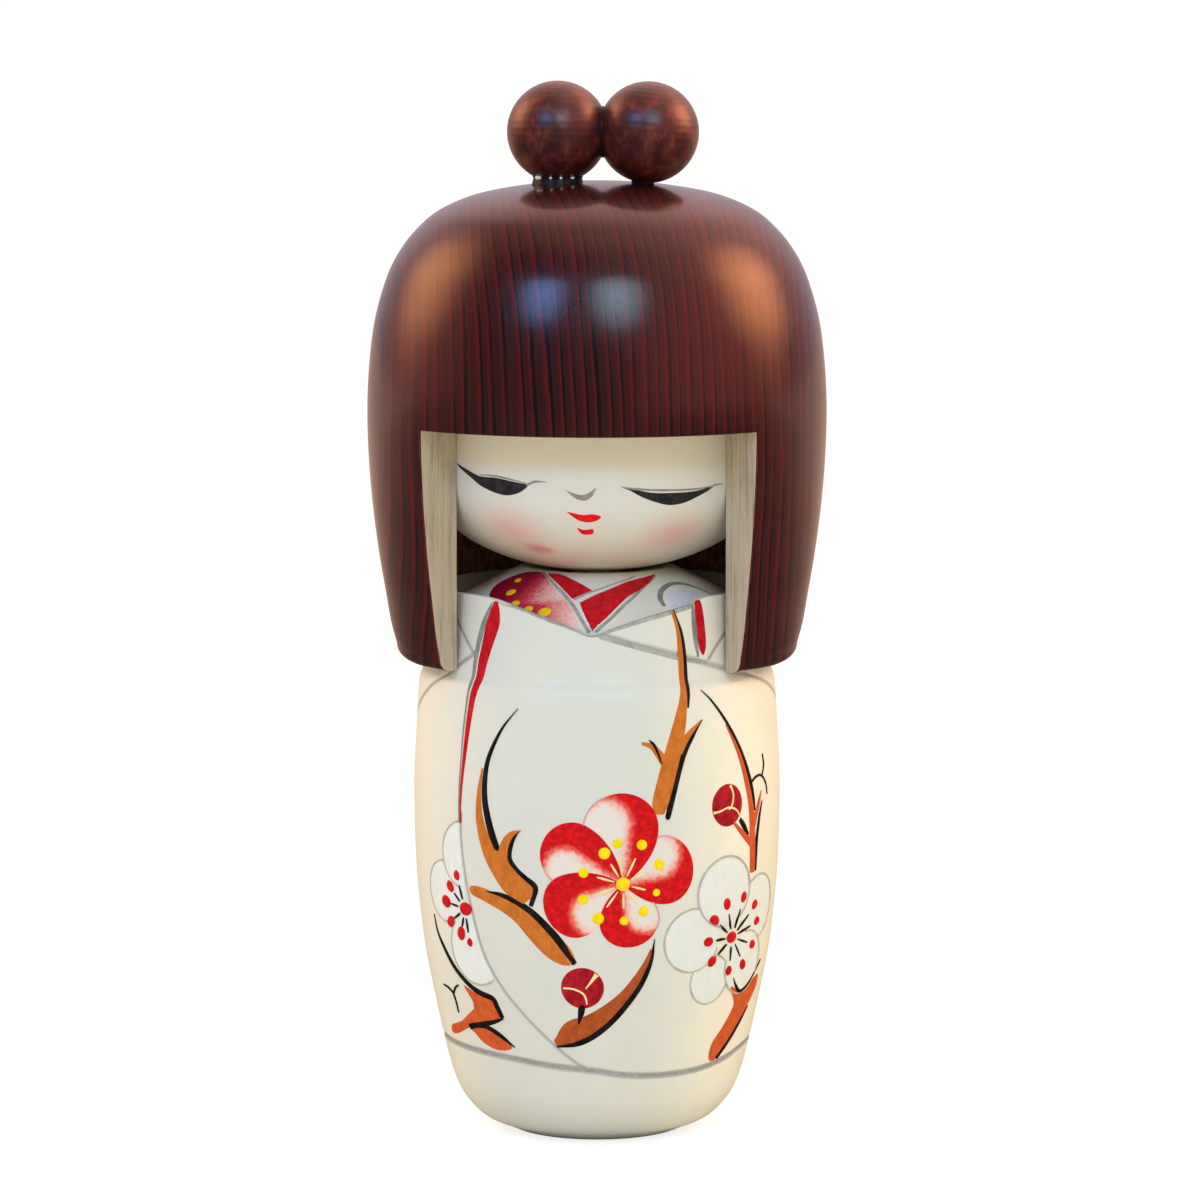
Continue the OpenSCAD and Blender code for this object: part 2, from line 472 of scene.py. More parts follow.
def face_material(cheeks):
    """Matt cream paint with powdered blush on both cheeks and a warmer jaw, and painted light on the
    brow: a warmer tint under the cap's fringe.
    """
    s = Shader("face_paint", 0.55, 0.06, 0.35)
    grain = s.noise(0.6, (1, 1, 0.1), 3)
    fine = s.noise(4.0, (1, 1, 1), 3)
    height = s.part(s.place, 2)
    tint = s.veil(rgb("dedcd1"), s.band(grain, 0.4, 0.75), 0.22, "d9d2bf")
    # Painted light: the brow under the cap's fringe is tinted warmer to offset the fringe's shade.
    tint = s.veil(tint, s.band(height, 104.5, 110.5), 0.75, "e5dcc6")
    tint = s.veil(tint, s.minus(1.0, s.band(height, 90.0, 99.0)), 0.55, "efdfc3")
    for centre, reach, code, amount in cheeks:
        away = s.plus(s.distance(centre, (1, 1, 1.35)), s.times(fine, 2.4))
        tint = s.veil(tint, s.minus(1.0, s.band(away, 0.6, reach)), amount, code)
    s.colour(tint)
    s.roughen(fine, 0.48, 0.62)
    s.bump(s.plus(grain, s.times(fine, 0.4)), 0.12, 0.03)
    return s.material


# Centre line of the growth rings, beside the block, and their spacing
PITH = (112.0, 4.0, 0.0)
RING_MM = 1.77


def rings(s):
    """The place within each growth ring, from 0 to 1."""
    sway = s.noise(0.02, (1, 1, 0.5), 2)
    out = s.plus(s.distance(PITH, (1, 1, 0)), s.times(sway, 7.0))
    along_ring = s.add("CombineXYZ", {0: s.times(out, 0.34), 1: s.times(s.part(s.place, 1), 0.03),
                                      2: s.times(s.part(s.place, 2), 0.012)})
    wander = s.add("TexNoise", {"Vector": along_ring, "Scale": 1.0, "Detail": 2.0}, "Fac")
    out = s.plus(out, s.times(wander, 2.2))
    return s.math("FRACT", s.math("DIVIDE", out, RING_MM))


def hair_material():
    """Striped hardwood stained red-brown: black late wood, a red edge and open pores."""
    s = Shader("hair_lacquer", 0.36, 0.9, 0.13, 0.28)
    fibre = s.noise(3.2, (1, 1, 0.05), 4)
    wood = s.ramp(s.math("FRACT", s.uneven(rings(s), fibre, 0.24)),
                  (0.0, "120c0e"), (0.16, "130c0e"), (0.25, "5c0c10"), (0.40, "540d12"),
                  (0.54, "3a1113"), (0.80, "331215"), (0.88, "471016"), (0.96, "200b0f"),
                  (1.0, "120c0e"))
    broad = s.noise(0.7, (1, 1, 0.03), 3)
    wood = s.veil(wood, s.band(broad, 0.42, 0.7), 0.6, "401516")
    patch = s.noise(0.05, (1, 1, 0.4), 3)
    wood = s.veil(wood, s.band(patch, 0.35, 0.7), 0.3, "34100f")
    pores = s.band(s.noise(5.5, (1, 1, 0.07), 2), 0.62, 0.72)
    s.colour(s.veil(wood, pores, 0.4, "170809"))
    s.roughen(s.noise(0.5, (1, 1, 1), 3), 0.30, 0.44)
    speck = s.noise(3.0, (1, 1, 0.5), 3)
    s.bump(s.minus(s.times(s.plus(fibre, speck), 0.5), pores), 0.15, 0.05, under_coat=False)
    return s.material


def bun_material():
    """Fine-grained wood stained red-brown, slightly mottled under satin lacquer."""
    s = Shader("bun_lacquer", 0.38, 1.0, 0.33)
    mottle = s.noise(0.40, (1, 1, 0.8), 4)
    fibre = s.noise(1.7, (1, 0.3, 0.5), 4)
    tone = s.plus(s.times(mottle, 0.65), s.times(fibre, 0.35))
    s.colour(s.ramp(tone, (0.30, "2a0809"), (0.5, "4d1411"), (0.70, "84301d")))
    s.roughen(mottle, 0.36, 0.5)
    s.bump(fibre, 0.14, 0.05)
    return s.material


def cut_wood_material(name, light, dark, roughness=0.7):
    """Bare sawn wood with vertical fibres and faint saw marks."""
    s = Shader(name, roughness)
    fibre = s.noise(1.3, (1, 1, 0.05), 5, 0.62)
    fine = s.noise(5.0, (1, 1, 0.12), 3)
    blot = s.noise(0.25, (1, 1, 0.5), 3)
    tone = s.plus(s.times(fibre, 0.6), s.plus(s.times(fine, 0.2), s.times(blot, 0.2)))
    s.colour(s.ramp(tone, (0.36, dark), (0.52, light), (0.66, light)))
    s.bump(s.plus(fibre, fine), 0.3, 0.08)
    return s.material


def faded_material(name, scale, *stops, full=None):
    """Paint that fades along colour stops with each point's shade.

    full gives two hex codes that the darkest shades are mottled with.
    """
    s = Shader(name, 0.45, 0.03, 0.25, 0.12)
    grit = s.noise(scale, (1, 1, 1), 4)
    share = s.uneven(s.shade(), grit, 0.5)
    tint = s.ramp(share, *stops)
    if full:
        mottled = s.blend(s.band(grit, 0.35, 0.7), rgb(full[0]), rgb(full[1]))
        tint = s.blend(s.band(share, 0.62, 0.85), tint, mottled)
    s.colour(tint)
    s.bump(grit, 0.2, 0.03)
    return s.material


kimono_paint = kimono_material()
hair_lacquer = hair_material()
bun_lacquer = bun_material()
cheek_wood = cut_wood_material("cheek_wood", "c4b79f", "97886f", 0.65)
peg_wood = cut_wood_material("peg_wood", "5e3a28", "38201a")
dowel_wood = cut_wood_material("dowel_wood", "cfae80", "a98455")
# Painted light: the bore wall is a paler brown than the dark stain inside the cap, so the shaded gap
# beside the face shows brown instead of black.
lit_bore_paint = paint_material("lit_bore_paint", "a8705a", 0.2, 0.5, 0.0)
rim_stain = paint_material("rim_stain", "64201c", 0.2, 0.4, 0.2)
glue = paint_material("glue", "1c1214", 0.1, 0.38, 0.2)
# Near-white paint for the painted glints under the left bun.
glint = paint_material("glue_glint", "f4efe6", 0.02, 0.15, 0.5)
petal_paint = faded_material("petal_paint", 1.3, (0.06, "e9e2da"), (0.28, "f2c4b8"),
                             (0.50, "ec6c5e"), (0.74, "d81018"), full=("c40612", "e8121c"))
collar_paint = faded_material("collar_blossom_paint", 2.0, (0.05, "ece4dc"), (0.35, "eaa9a2"),
                              (0.62, "cf3a4c"), (0.9, "98082a"))
# Brushed paints: colour, unevenness and roughness
PAINTS = {name: paint_material(name + "_paint", *look) for name, look in {
    "red": ("d0000f", 0.08), "bud": ("b0001a", 0.14), "crimson": ("ca001a", 0.10),
    "lip": ("e60008", 0.08), "pink": ("dfa3ac", 0.06), "black": ("12100f", 0.1, 0.4),
    "eye": ("2b292a", 0.1, 0.5), "slate": ("8a918b", 0.12), "shadow": ("98948a", 0.1, 0.5),
    "outline": ("bfbcae", 0.08), "neckline_shade": ("aeb1a7", 0.12), "band": ("a0a59e", 0.10),
    "brown": ("cf7426", 0.07), "rust": ("d65a24", 0.07), "umber": ("b4521e", 0.09),
    "white": ("e8ecea", 0.01), "lilac": ("e4e6f2", 0.03), "cream": ("f3ecab", 0.04),
    "yellow": ("ffe404", 0.04), "gold": ("f2cc10", 0.06)}.items()}


# ---------------------------------------------------------------- body

# Height of the kimono's top edge round the body: level, with a V in front
NECKLINE = through([(-60, 86.7), (-42, 86.75), (-30, 86.0), (-15, 84.1), (-6, 82.7), (1, 81.5),
                    (8, 82.5), (18, 83.9), (29, 85.0), (38, 85.8), (46, 86.7), (60, 86.7)], 4)
EDGE_THICK = 1.0
EDGE_ROUND = 0.3

# Carved lines on the barrel: (angle, height) routes, half width and how grey they are
HEM = [(-180, 15.2), (-120, 15.3), (-74, 15.0), (-56, 14.8), (-40, 14.6), (-28, 14.3), (-16, 13.8),
       (2, 13.1), (12, 12.4), (24, 12.0), (38, 12.0), (50, 12.4), (62, 13.2), (76, 14.2),
       (120, 15.2), (180, 15.2)]
OVERLAP = [(-44, 53), (-44, 49), (-42.5, 43), (-40, 37), (-36.5, 31), (-31, 26.3), (-23, 21.8),
           (-13, 17.4), (-4, 14.2), (2, 13.1)]
LAPEL = [(3, 81.9), (11, 80.8), (20, 79.6), (30, 78.4), (40, 77.0), (50, 75.6), (62, 74.2)]
SLEEVE_LEFT = [(-43, 77.9), (-50, 76.0), (-58, 73.6), (-68, 70.9), (-80, 67.6), (-94, 63.4),
               (-108, 58.6), (-120, 51.5), (-128, 42), (-132, 30), (-133, 15.3)]
SLEEVE_RIGHT = [(62, 74.2), (76, 71.8), (92, 68), (107, 62.5), (119, 54.5), (128, 44), (132, 31),
                (133, 15.3)]
FOLD_LEFT = [(-60, 84.2), (-52, 81.3), (-44, 78.0)]
FOLD_RIGHT = [(53, 80.8), (48, 79.0), (44, 77.2)]
BACK_SEAM = [(180, 85), (180, 15.2)]
CARVED = [(HEM, 0.66, 0.85), (OVERLAP, 0.34, 0.72), (LAPEL, 0.66, 0.66), (SLEEVE_LEFT, 0.45, 0.75),
          (SLEEVE_RIGHT, 0.45, 0.75), (FOLD_LEFT, 0.34, 0.85), (FOLD_RIGHT, 0.34, 0.8),
          (BACK_SEAM, 0.34, 0.7),
          ([(deg - 360, z) for deg, z in BACK_SEAM], 0.34, 0.7)]
CARVE_DEPTH = 0.16


def line_distance(deg, along, route):
    """Distance in millimetres from barrel points to a smooth route of (angle, height)."""
    p = through(barrel.flat(route), 6)
    best = np.full(deg.shape, 1e9)
    per = barrel.per_degree(along)
    for a, b in zip(p, p[1:]):
        bu, bv = (b[0] - a[0]) * per, b[1] - a[1]
        pu, pv = (deg - a[0]) * per, along - a[1]
        t = np.clip((pu * bu + pv * bv) / (bu * bu + bv * bv + 1e-9), 0, 1)
        best = np.minimum(best, np.hypot(pu - t * bu, pv - t * bv))
    return best


# The body's mesh: how far round it is fine, its columns and its rows
FINE_DEGREES, FINE_COLUMNS, BACK_COLUMNS = 92, 460, 180
LEVEL_Z, LOW_ROWS, HIGH_ROWS, NECK_ROWS = 74, 270, 34, 40
# Radius and height of the dish on the neck and of the dowel's bore
NECK_BORE_R, NECK_BORE_Z = 4.06, 70
DISH = [(11.4, 89.62), (9, 89.3), (6.5, 88.9), (NECK_BORE_R, 88.6), (NECK_BORE_R, 86),
        (NECK_BORE_R, NECK_BORE_Z)]


def carve(degs, along):
    """Depth of the carved lines at points of the barrel, and how grey they are."""
    depth, tone = np.zeros(along.shape), np.zeros(along.shape)
    for route, half, grey in CARVED:
        away = line_distance(degs, along, route)
        depth = np.maximum(depth, CARVE_DEPTH * (1 - smoothstep(away, half * 0.25, half * 1.1)))
        tone = np.maximum(tone, grey * (1 - smoothstep(away, half * 0.35, half * 1.45)))
    return depth, tone


def build_body():
    """The kimono's barrel with its carved lines, standing edge, neck and bore."""
    front = np.linspace(-FINE_DEGREES, FINE_DEGREES, FINE_COLUMNS, endpoint=False)
    back = np.linspace(FINE_DEGREES, 360 - FINE_DEGREES, BACK_COLUMNS, endpoint=False)
    deg = (np.concatenate([front, back]) + 180) % 360 - 180
    top = np.interp(deg, NECKLINE[:, 0], NECKLINE[:, 1])
    columns = len(deg)

    # Outer wall, level up to LEVEL_Z and then stretched to the neckline
    split = float(barrel.length_at(LEVEL_Z))
    low = np.linspace(float(barrel.length_at(0.0)), split, LOW_ROWS)[:, None] + np.zeros(columns)
    t = np.linspace(0, 1, HIGH_ROWS)[1:, None]
    high = split + (barrel.length_at(top - EDGE_ROUND) - split)[None, :] * t
    along = np.vstack([low, high])
    degs = np.broadcast_to(deg, along.shape)
    sink, shade = carve(degs, along)
    rows, tones = [barrel.place(degs, along, -sink)], [shade]

    # Rounded top edge, the ledge and the step down to the neck
    outer = barrel.radius_at(top)
    inner = outer - EDGE_THICK
    angle = np.radians(deg)

    def ring(r, z, tone=0.0):
        rows.append(np.stack([r * np.sin(angle), -r * np.cos(angle), z + 0 * r], -1)[None])
        tones.append(np.broadcast_to(np.asarray(tone, float), (1, columns)))

    # Painted shade: the top edge and the step down to the neck turn grey where the neckline dips into
    # the V.
    vee_shade = smoothstep(86.5 - top, 0.0, 0.9)
    for bend in np.radians((30, 60, 90)):
        ring(outer - EDGE_ROUND * (1 - math.cos(bend)), top - EDGE_ROUND * (1 - math.sin(bend)),
             vee_shade * 0.85)
    for bend in np.radians((0, 45, 90)):
        ring(inner + EDGE_ROUND * (1 - math.sin(bend)), top - EDGE_ROUND * (1 - math.cos(bend)), vee_shade)
    foot = np.interp(-inner, -neck.r, neck.z)
    for share in (0.5, 1.0):
        ring(inner, top - EDGE_ROUND + (foot - top + EDGE_ROUND) * share, vee_shade)
    start = neck.length_at(foot)
    for share in np.linspace(0, 1, NECK_ROWS)[1:]:
        rows.append(neck.place(deg, start + (neck.along[-1] - start) * share, 0)[None])
        tones.append(np.zeros((1, columns)))
    for r, z in DISH:
        ring(np.full(columns, r), z)

    points = np.concatenate(rows)
    faces = grid_faces(len(points), columns, wrap=True)
    points, faces = close_on_axis(points.reshape(-1, 3), faces, columns, 0, NECK_BORE_Z)
    sketch = Sketch()
    sketch.add(points, faces, 0, np.concatenate([np.concatenate(tones).ravel(), [0, 0]]))
    sketch.piece("kimono_body", BASE, "body_paint", [kimono_paint], ["body"])


# ---------------------------------------------------------------- head and hair

HEAD_BORE_R, HEAD_BORE_Z = 4.05, 110.5
# Blush: angle, height, reach, colour and strength
BLUSH = [(-29, 97.5, 9.5, "e6a6a6", 0.68), (-24, 94.2, 4.6, "d97884", 0.85),
         (-19, 94.0, 3.2, "d97884", 0.75), (33, 96.4, 9.5, "e2a2a0", 0.72)]


def build_head():
    """The turned head with its rounded chin, bored for the neck dowel."""
    outline = [(0, HEAD_BORE_Z), (HEAD_BORE_R, HEAD_BORE_Z), (HEAD_BORE_R, 100),
               (HEAD_BORE_R, CHEEK_Z - CHIN_DROP + 0.25)]
    outline += [(HEAD_R * math.sin(a), CHEEK_Z - CHIN_DROP * math.cos(a))
                for a in np.linspace(0.16, math.pi / 2, 60)]
    outline += [(HEAD_R, z) for z in np.linspace(CHEEK_Z, HEAD_TOP, 40)[1:]]
    outline += [(HEAD_R - 1, HEAD_TOP), (0, HEAD_TOP)]
    cheeks = [(tuple(face.place(deg, face.length_at(z), 0)), reach, code, amount)
              for deg, z, reach, code, amount in BLUSH]
    sketch = Sketch()
    sketch.add(*revolve(outline, 300))
    sketch.piece("face_wood", HEAD_UNIT, "face_paint", [face_material(cheeks)], ["head"])


def window_angle(radius):
    """Half angle, in radians, that the flared window takes out of the hair at a radius."""
    depth_in = math.sqrt(CAP_BORE**2 - WINDOW_HALF**2)
    offset = WINDOW_HALF - WINDOW_FLARE * depth_in
    tilt = math.atan(WINDOW_FLARE)
    return tilt + np.arcsin(offset * math.cos(tilt) / radius)


def build_hair():
    """The hair cap: a turned shell with the face window cut out and its sharp edges eased."""
    ease, clear, rim_chamfer = 0.22, 0.8, 0.5
    arc = [(RIM_R - RIM_ROUND * (1 - math.sin(a)), RIM_Z + RIM_ROUND * (1 - math.cos(a)))
           for a in np.linspace(0, math.pi / 2, 9)][:-1]
    cap_line = through(CAP, 9)
    outside = np.array([(CAP_BORE + rim_chamfer, RIM_Z)] + arc + cap_line.tolist())
    below = outside[outside[:, 1] < FRINGE_Z - clear]
    above = outside[(outside[:, 1] > FRINGE_Z + clear) & (outside[:, 0] > 1e-6)]
    fringe_r = float(np.interp(FRINGE_Z, cap_line[:, 1], cap_line[:, 0]))
    level = [(fringe_r, FRINGE_Z), (fringe_r, FRINGE_Z + ease)]
    shell = np.vstack([below, level, above])
    fringe_row = len(below)
    r = shell[:, 0]
    gap = window_angle(np.clip(r, CAP_BORE, None))
    fixed = window_angle(fringe_r)
    gap = np.where(np.arange(len(r)) >= fringe_row, fixed, gap)
    gap = gap + ease / np.clip(r, 8, None) * (np.arange(len(r)) < fringe_row)

    sketch = Sketch()
    sides, front = 420, 120

    def wrap_round(radius, z, low, high, count):
        a = low[:, None] + (high - low)[:, None] * np.linspace(0, 1, count)
        radius = np.broadcast_to(np.asarray(radius)[:, None], a.shape)
        z = np.broadcast_to(np.asarray(z)[:, None], a.shape)
        return np.stack([radius * np.sin(a), -radius * np.cos(a), z], -1)

    # Sides and back, from the rim to the crown
    outer = wrap_round(r, shell[:, 1], gap, 2 * math.pi - gap, sides)
    sketch.add(outer, grid_faces(len(r), sides), 0)
    # Fringe and the front of the crown
    top = shell[fringe_row + 1:]
    g = gap[fringe_row + 1:]
    fringe = wrap_round(top[:, 0], top[:, 1], -g, g, front)
    sketch.add(fringe, grid_faces(len(top), front), 0)
    # Crown's last ring to its pole
    for ring in (outer[-1], fringe[-1]):
        fan = np.vstack([ring, [0, 0, shell[-1, 1] + 0.02]])
        sketch.add(fan, [[i, i + 1, len(ring)] for i in range(len(ring) - 1)], 0)

    # Soffit over the face: eased lower edge of the fringe, then bare wood in to the bore
    a = np.linspace(-fixed, fixed, front)
    soffit_r = np.array([fringe_r, fringe_r - ease * 0.3, fringe_r - ease, CAP_BORE + 4, CAP_BORE])
    soffit_z = np.array([FRINGE_Z + ease, FRINGE_Z + ease * 0.3, FRINGE_Z, FRINGE_Z, FRINGE_Z])
    inner_gap = window_angle(CAP_BORE)
    shrink = np.array([window_angle(max(v, CAP_BORE)) for v in soffit_r]) / fixed
    shrink[0:2] = 1.0
    soffit = []
    for radius, z, k in zip(soffit_r, soffit_z, shrink):
        soffit.append(np.stack([radius * np.sin(a * k), -radius * np.cos(a * k),
                                np.full(front, z)], -1))
    soffit = np.array(soffit)
    sketch.add(soffit[:3], [f[::-1] for f in grid_faces(3, front)], 0)
    sketch.add(soffit[2:], [f[::-1] for f in grid_faces(3, front)], 1)

    # Flared cheeks: from the eased outer arris in to the bore, on both sides
    rows = shell[:fringe_row + 1]
    rows = np.vstack([rows[:-1], [(fringe_r, FRINGE_Z)]])
    for side in (1, -1):
        strip = []
        for radius, z in rows:
            half = float(window_angle(max(radius, CAP_BORE)))
            reach = max(radius, CAP_BORE + 0.01)
            edge = half + ease / reach
            deep = np.array([reach * math.sin(half), -reach * math.cos(half)])
            bore = np.array([WINDOW_HALF, -math.sqrt(CAP_BORE**2 - WINDOW_HALF**2)])
            along = bore - deep
            size = np.linalg.norm(along)
            inward = along / size if size > 1e-6 else along
            corner = np.array([reach * math.sin(edge), -reach * math.cos(edge)])
            inset = deep + inward * min(ease, size)
            middle = (corner + inset) / 2 + (deep - (corner + inset) / 2) * 0.45
            line = [corner, middle, inset]
            line += [inset + (bore - inset) * k for k in np.linspace(0, 1, 10)[1:]]
            strip.append([(side * x, y, z) for x, y in line])
        strip = np.array(strip)
        flip = side > 0
        for first, last, paint in ((0, 3, 2), (2, strip.shape[1], 1)):
            part = strip[:, first:last]
            quads = grid_faces(len(strip), last - first)
            sketch.add(part, [f[::-1] for f in quads] if flip else quads, paint)

    # Bore wall and its ceiling, chamfered at the rim
    bore_z = np.array([RIM_Z, RIM_Z + rim_chamfer, 82, 90, 98, 106, FRINGE_Z, CAP_CEILING])
    bore_r = np.full(len(bore_z), CAP_BORE)
    bore_r[0] = CAP_BORE + rim_chamfer
    opening = np.full(len(bore_z), float(inner_gap))
    opening[0] = float(window_angle(CAP_BORE + rim_chamfer)) + ease / CAP_BORE
    wall = wrap_round(bore_r, bore_z, opening, 2 * math.pi - opening, 240)
    sketch.add(wall, [f[::-1] for f in grid_faces(len(bore_z), 240)], 3)
    high = wrap_round(bore_r[-2:], bore_z[-2:], -opening[-2:], opening[-2:], 60)
    sketch.add(high, [f[::-1] for f in grid_faces(2, 60)], 3)
    for ring in (wall[-1], high[-1]):
        fan = np.vstack([ring, [0, 0, CAP_CEILING]])
        sketch.add(fan, [[i + 1, i, len(ring)] for i in range(len(ring) - 1)], 3)
    sketch.piece("hair", HEAD_UNIT, "hair_lacquer",
                 [hair_lacquer, cheek_wood, rim_stain, lit_bore_paint], ["hair_cap"], turn_out=False)


# Where the buns meet along X, the glue between them, the right one's lean and the lathe's rings
BUN_MEET, GLUE_FILM, BUN_LEAN, LATHE_RIPPLE, LATHE_RINGS = 1.03, 0.05, 6.2, 0.008, 46
PEG_RIGHT_X = 7.25


def bun_centres():
    """Centres of the left and right buns, from their CAD boxes."""
    (low, high), (low_right, high_right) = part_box("bun_left"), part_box("bun_right")
    left = (low.x / MM + BUN_R, (low.y + high.y) / 2 / MM, high.z / MM - BUN_R)
    right = (high_right.x / MM - BUN_R, (low_right.y + high_right.y) / 2 / MM,
             high_right.z / MM - BUN_R)
    return left, right


def build_buns():
    """Turned balls with a small flat round the peg, a flat where they meet and lathe rings."""
    for name, centre, lean, seat_r, side in zip(("bun_left", "bun_right"), bun_centres(),
                                                (0.0, math.radians(BUN_LEAN)), (3.4, 1.9), (-1, 1)):
        first = math.asin(seat_r / BUN_R)
        outline = [(0, -BUN_R * math.cos(first))]
        for a in np.linspace(first, math.pi, 120):
            r = BUN_R + LATHE_RIPPLE * (math.sin(a * LATHE_RINGS) - 1)
            outline.append((r * math.sin(a), -r * math.cos(a)))
        outline[-1] = (0, BUN_R)
        points, faces = revolve(outline, 200)
        c, s = math.cos(lean), math.sin(lean)
        points = np.stack([points[:, 0] * c + points[:, 2] * s, points[:, 1],
                           points[:, 2] * c - points[:, 0] * s], -1) + np.array(centre)
        flat = BUN_MEET + side * GLUE_FILM / 2
        points[:, 0] = side * np.maximum(side * points[:, 0], side * flat)
        sketch = Sketch()
        sketch.add(points, faces)
        sketch.piece(name + "_wood", HEAD_UNIT, "bun_lacquer", [bun_lacquer], [name])


# ---------------------------------------------------------------- painting

def dot(sketch, surface, centre, radius, height=0.22):
    dab(sketch, surface, centre, circle(radius, count=18), height, rings=3)


def route_of(surface, centre, offsets, width):
    """(angle, height, width) stations of offsets in millimetres from a centre."""
    (deg0, along0), = surface.flat([centre])[:, :2]
    per = float(surface.per_degree(along0))
    return [(deg0 + u / per, float(surface.height_at(along0 + v)), width) for u, v in offsets]


def beside(centre, offset):
    """The place on the barrel at an offset in millimetres from a centre."""
    return route_of(barrel, centre, [offset], 0)[0][:2]


def filament(sketch, centre, tip, shares, width, end, height):
    """A short tapered stroke at shares of the way from a blossom's centre to a tip."""
    stem = route_of(barrel, centre, [(tip[0] * k, tip[1] * k) for k in shares], width)
    stem = [(deg, z, w * k) for (deg, z, w), k in zip(stem, (0.4, 1.0, end))]
    stroke(sketch, barrel, stem, height, paint=1)


def region_outline(star, inside):
    """Outline, as offsets from star, of a region that can be seen whole from star."""
    reach, step = 14.0, 0.04
    a = np.linspace(0, 2 * math.pi, 72, endpoint=False)
    r = np.arange(step, reach, step)
    u = star[0] + r[None, :] * np.cos(a)[:, None]
    v = star[1] + r[None, :] * np.sin(a)[:, None]
    out = ~inside(u, v)
    first = np.where(out.any(1), out.argmax(1), len(r) - 1)
    return np.stack([r[first] * np.cos(a), r[first] * np.sin(a)], -1)


# Direction, distance and size of each red petal, then its white area: (forward, sideways, reach)
# as shares of the petal's half width
RED_PETALS = [(92, 8.6, 5.6, 5.9, (0.12, -0.44, 0.62)), (150, 9.3, 4.8, 5.1, (-0.10, -0.52, 0.60)),
              (204, 8.6, 4.5, 5.1, (-0.52, -0.50, 0.62)), (281, 6.1, 4.1, 4.7, (-0.25, -0.62, 0.66)),
              (16, 7.1, 4.7, 5.4, (-0.12, -0.50, 0.60))]


# Offset from the blossom's centre and radius of each yellow anther
RED_TIPS = [(-2.9, 4.9, 1.05), (-0.9, 6.4, 0.85), (2.9, 6.1, 0.95), (5.7, 2.9, 0.95),
            (5.3, -1.5, 0.7), (3.3, -4.4, 0.85), (0.2, -5.8, 0.8), (-3.8, -5.4, 1.0),
            (-6.2, -2.4, 0.9), (-6.1, 1.8, 0.85)]


def red_petal(petals, lines, centre, angle, out, deep, wide, white):
    """One petal, red on its clockwise side, with a pink line round its white part.

    It reaches out back to the blossom's centre, deep forward and wide to both sides.
    """
    c, s = math.cos(math.radians(angle)), math.sin(math.radians(angle))
    psi = np.linspace(0, 2 * math.pi, 72, endpoint=False)
    ahead_half = np.cos(psi) > 0
    along = np.where(ahead_half, deep, out) * np.cos(psi)
    across = wide * np.sin(psi) * np.where(ahead_half, 1, np.abs(np.sin(psi)) ** 0.75)
    outline = np.stack([along * c + across * s, along * s - across * c], -1)
    ahead, aside, reach = (wide * share for share in white)

    def redness(u, v):
        fore, side = u * c + v * s, u * s - v * c
        share = np.clip((ahead - fore) / (ahead + 0.95 * out), 0, 1)
        off = np.hypot(side - aside * (1 - 0.6 * share), np.maximum(0, fore - ahead))
        return smoothstep(off - reach * (1 - 0.78 * share), -0.30 * wide, 0.48 * wide)

    middle = beside(centre, (out * c, out * s))
    dab(petals, barrel, middle, outline, 0.07, rings=18, shade=redness,
        lift=lambda u, v: 0.11 * redness(u, v) - 0.04)
    pale = [p for p in outline if redness(*p) < 0.6
            and np.hypot(p[0] + out * c, p[1] + out * s) > out * 0.75]
    pale.sort(key=lambda p: math.atan2(p[0] * s - p[1] * c, p[0] * c + p[1] * s))
    if len(pale) > 6:
        route = route_of(barrel, middle, pale[::2], 0.3)
        ends = (0, len(route) - 1)
        stroke(lines, barrel, [(deg, z, w * (0.3 if i in ends else 1))
                               for i, (deg, z, w) in enumerate(route)], 0.09)


def red_blossom(centre):
    """A plum blossom whose petals turn like a pinwheel."""
    petals, lines, stamens = Sketch(), Sketch(), Sketch()
    for petal in RED_PETALS:
        red_petal(petals, lines, centre, *petal)
    for u, v, radius in RED_TIPS:
        filament(stamens, centre, (u, v), (1.4 / math.hypot(u, v), 0.46, 0.66), 0.5, 0.6, 0.26)
        dot(stamens, barrel, beside(centre, (u, v)), radius, 0.34)
    dot(stamens, barrel, centre, 1.15, 0.36)
    petals.piece("red_blossom_petals_" + tag(centre), BASE, "paint_red", [petal_paint])
    lines.piece("red_blossom_edges_" + tag(centre), BASE, "paint_red", [PAINTS["pink"]])
    stamens.piece("red_blossom_stamens_" + tag(centre), BASE, "paint_yellow",
                  [PAINTS["yellow"], PAINTS["cream"]])


def tag(spot):
    """A short name for a place on the barrel."""
    return f"{int(spot[0]) % 360:03d}_{int(spot[1])}"


def visible_runs(circle_at, higher, seen):
    """Stretches of a petal's outline that no higher petal, centre or panel hides."""
    pu, pv, radius = circle_at
    runs, run = [], []
    for a in np.linspace(0, 2 * math.pi, 97):
        u, v = pu + radius * math.cos(a), pv + radius * math.sin(a)
        hidden = any(math.hypot(u - q[0], v - q[1]) < q[2] for q in higher)
        inward = u * 0.97 + pu * 0.03, v * 0.97 + pv * 0.03
        if hidden or math.hypot(u, v) < 3.4 or not seen(*inward):
            runs.append(run)
            run = []
        else:
            run.append((u, v))
    runs.append(run)
    if len(runs) > 1 and runs[0] and runs[-1] and math.dist(runs[0][0], runs[-1][-1]) < 0.5:
        runs[0] = runs.pop() + runs[0][1:]
    return [run for run in runs if len(run) > 4]


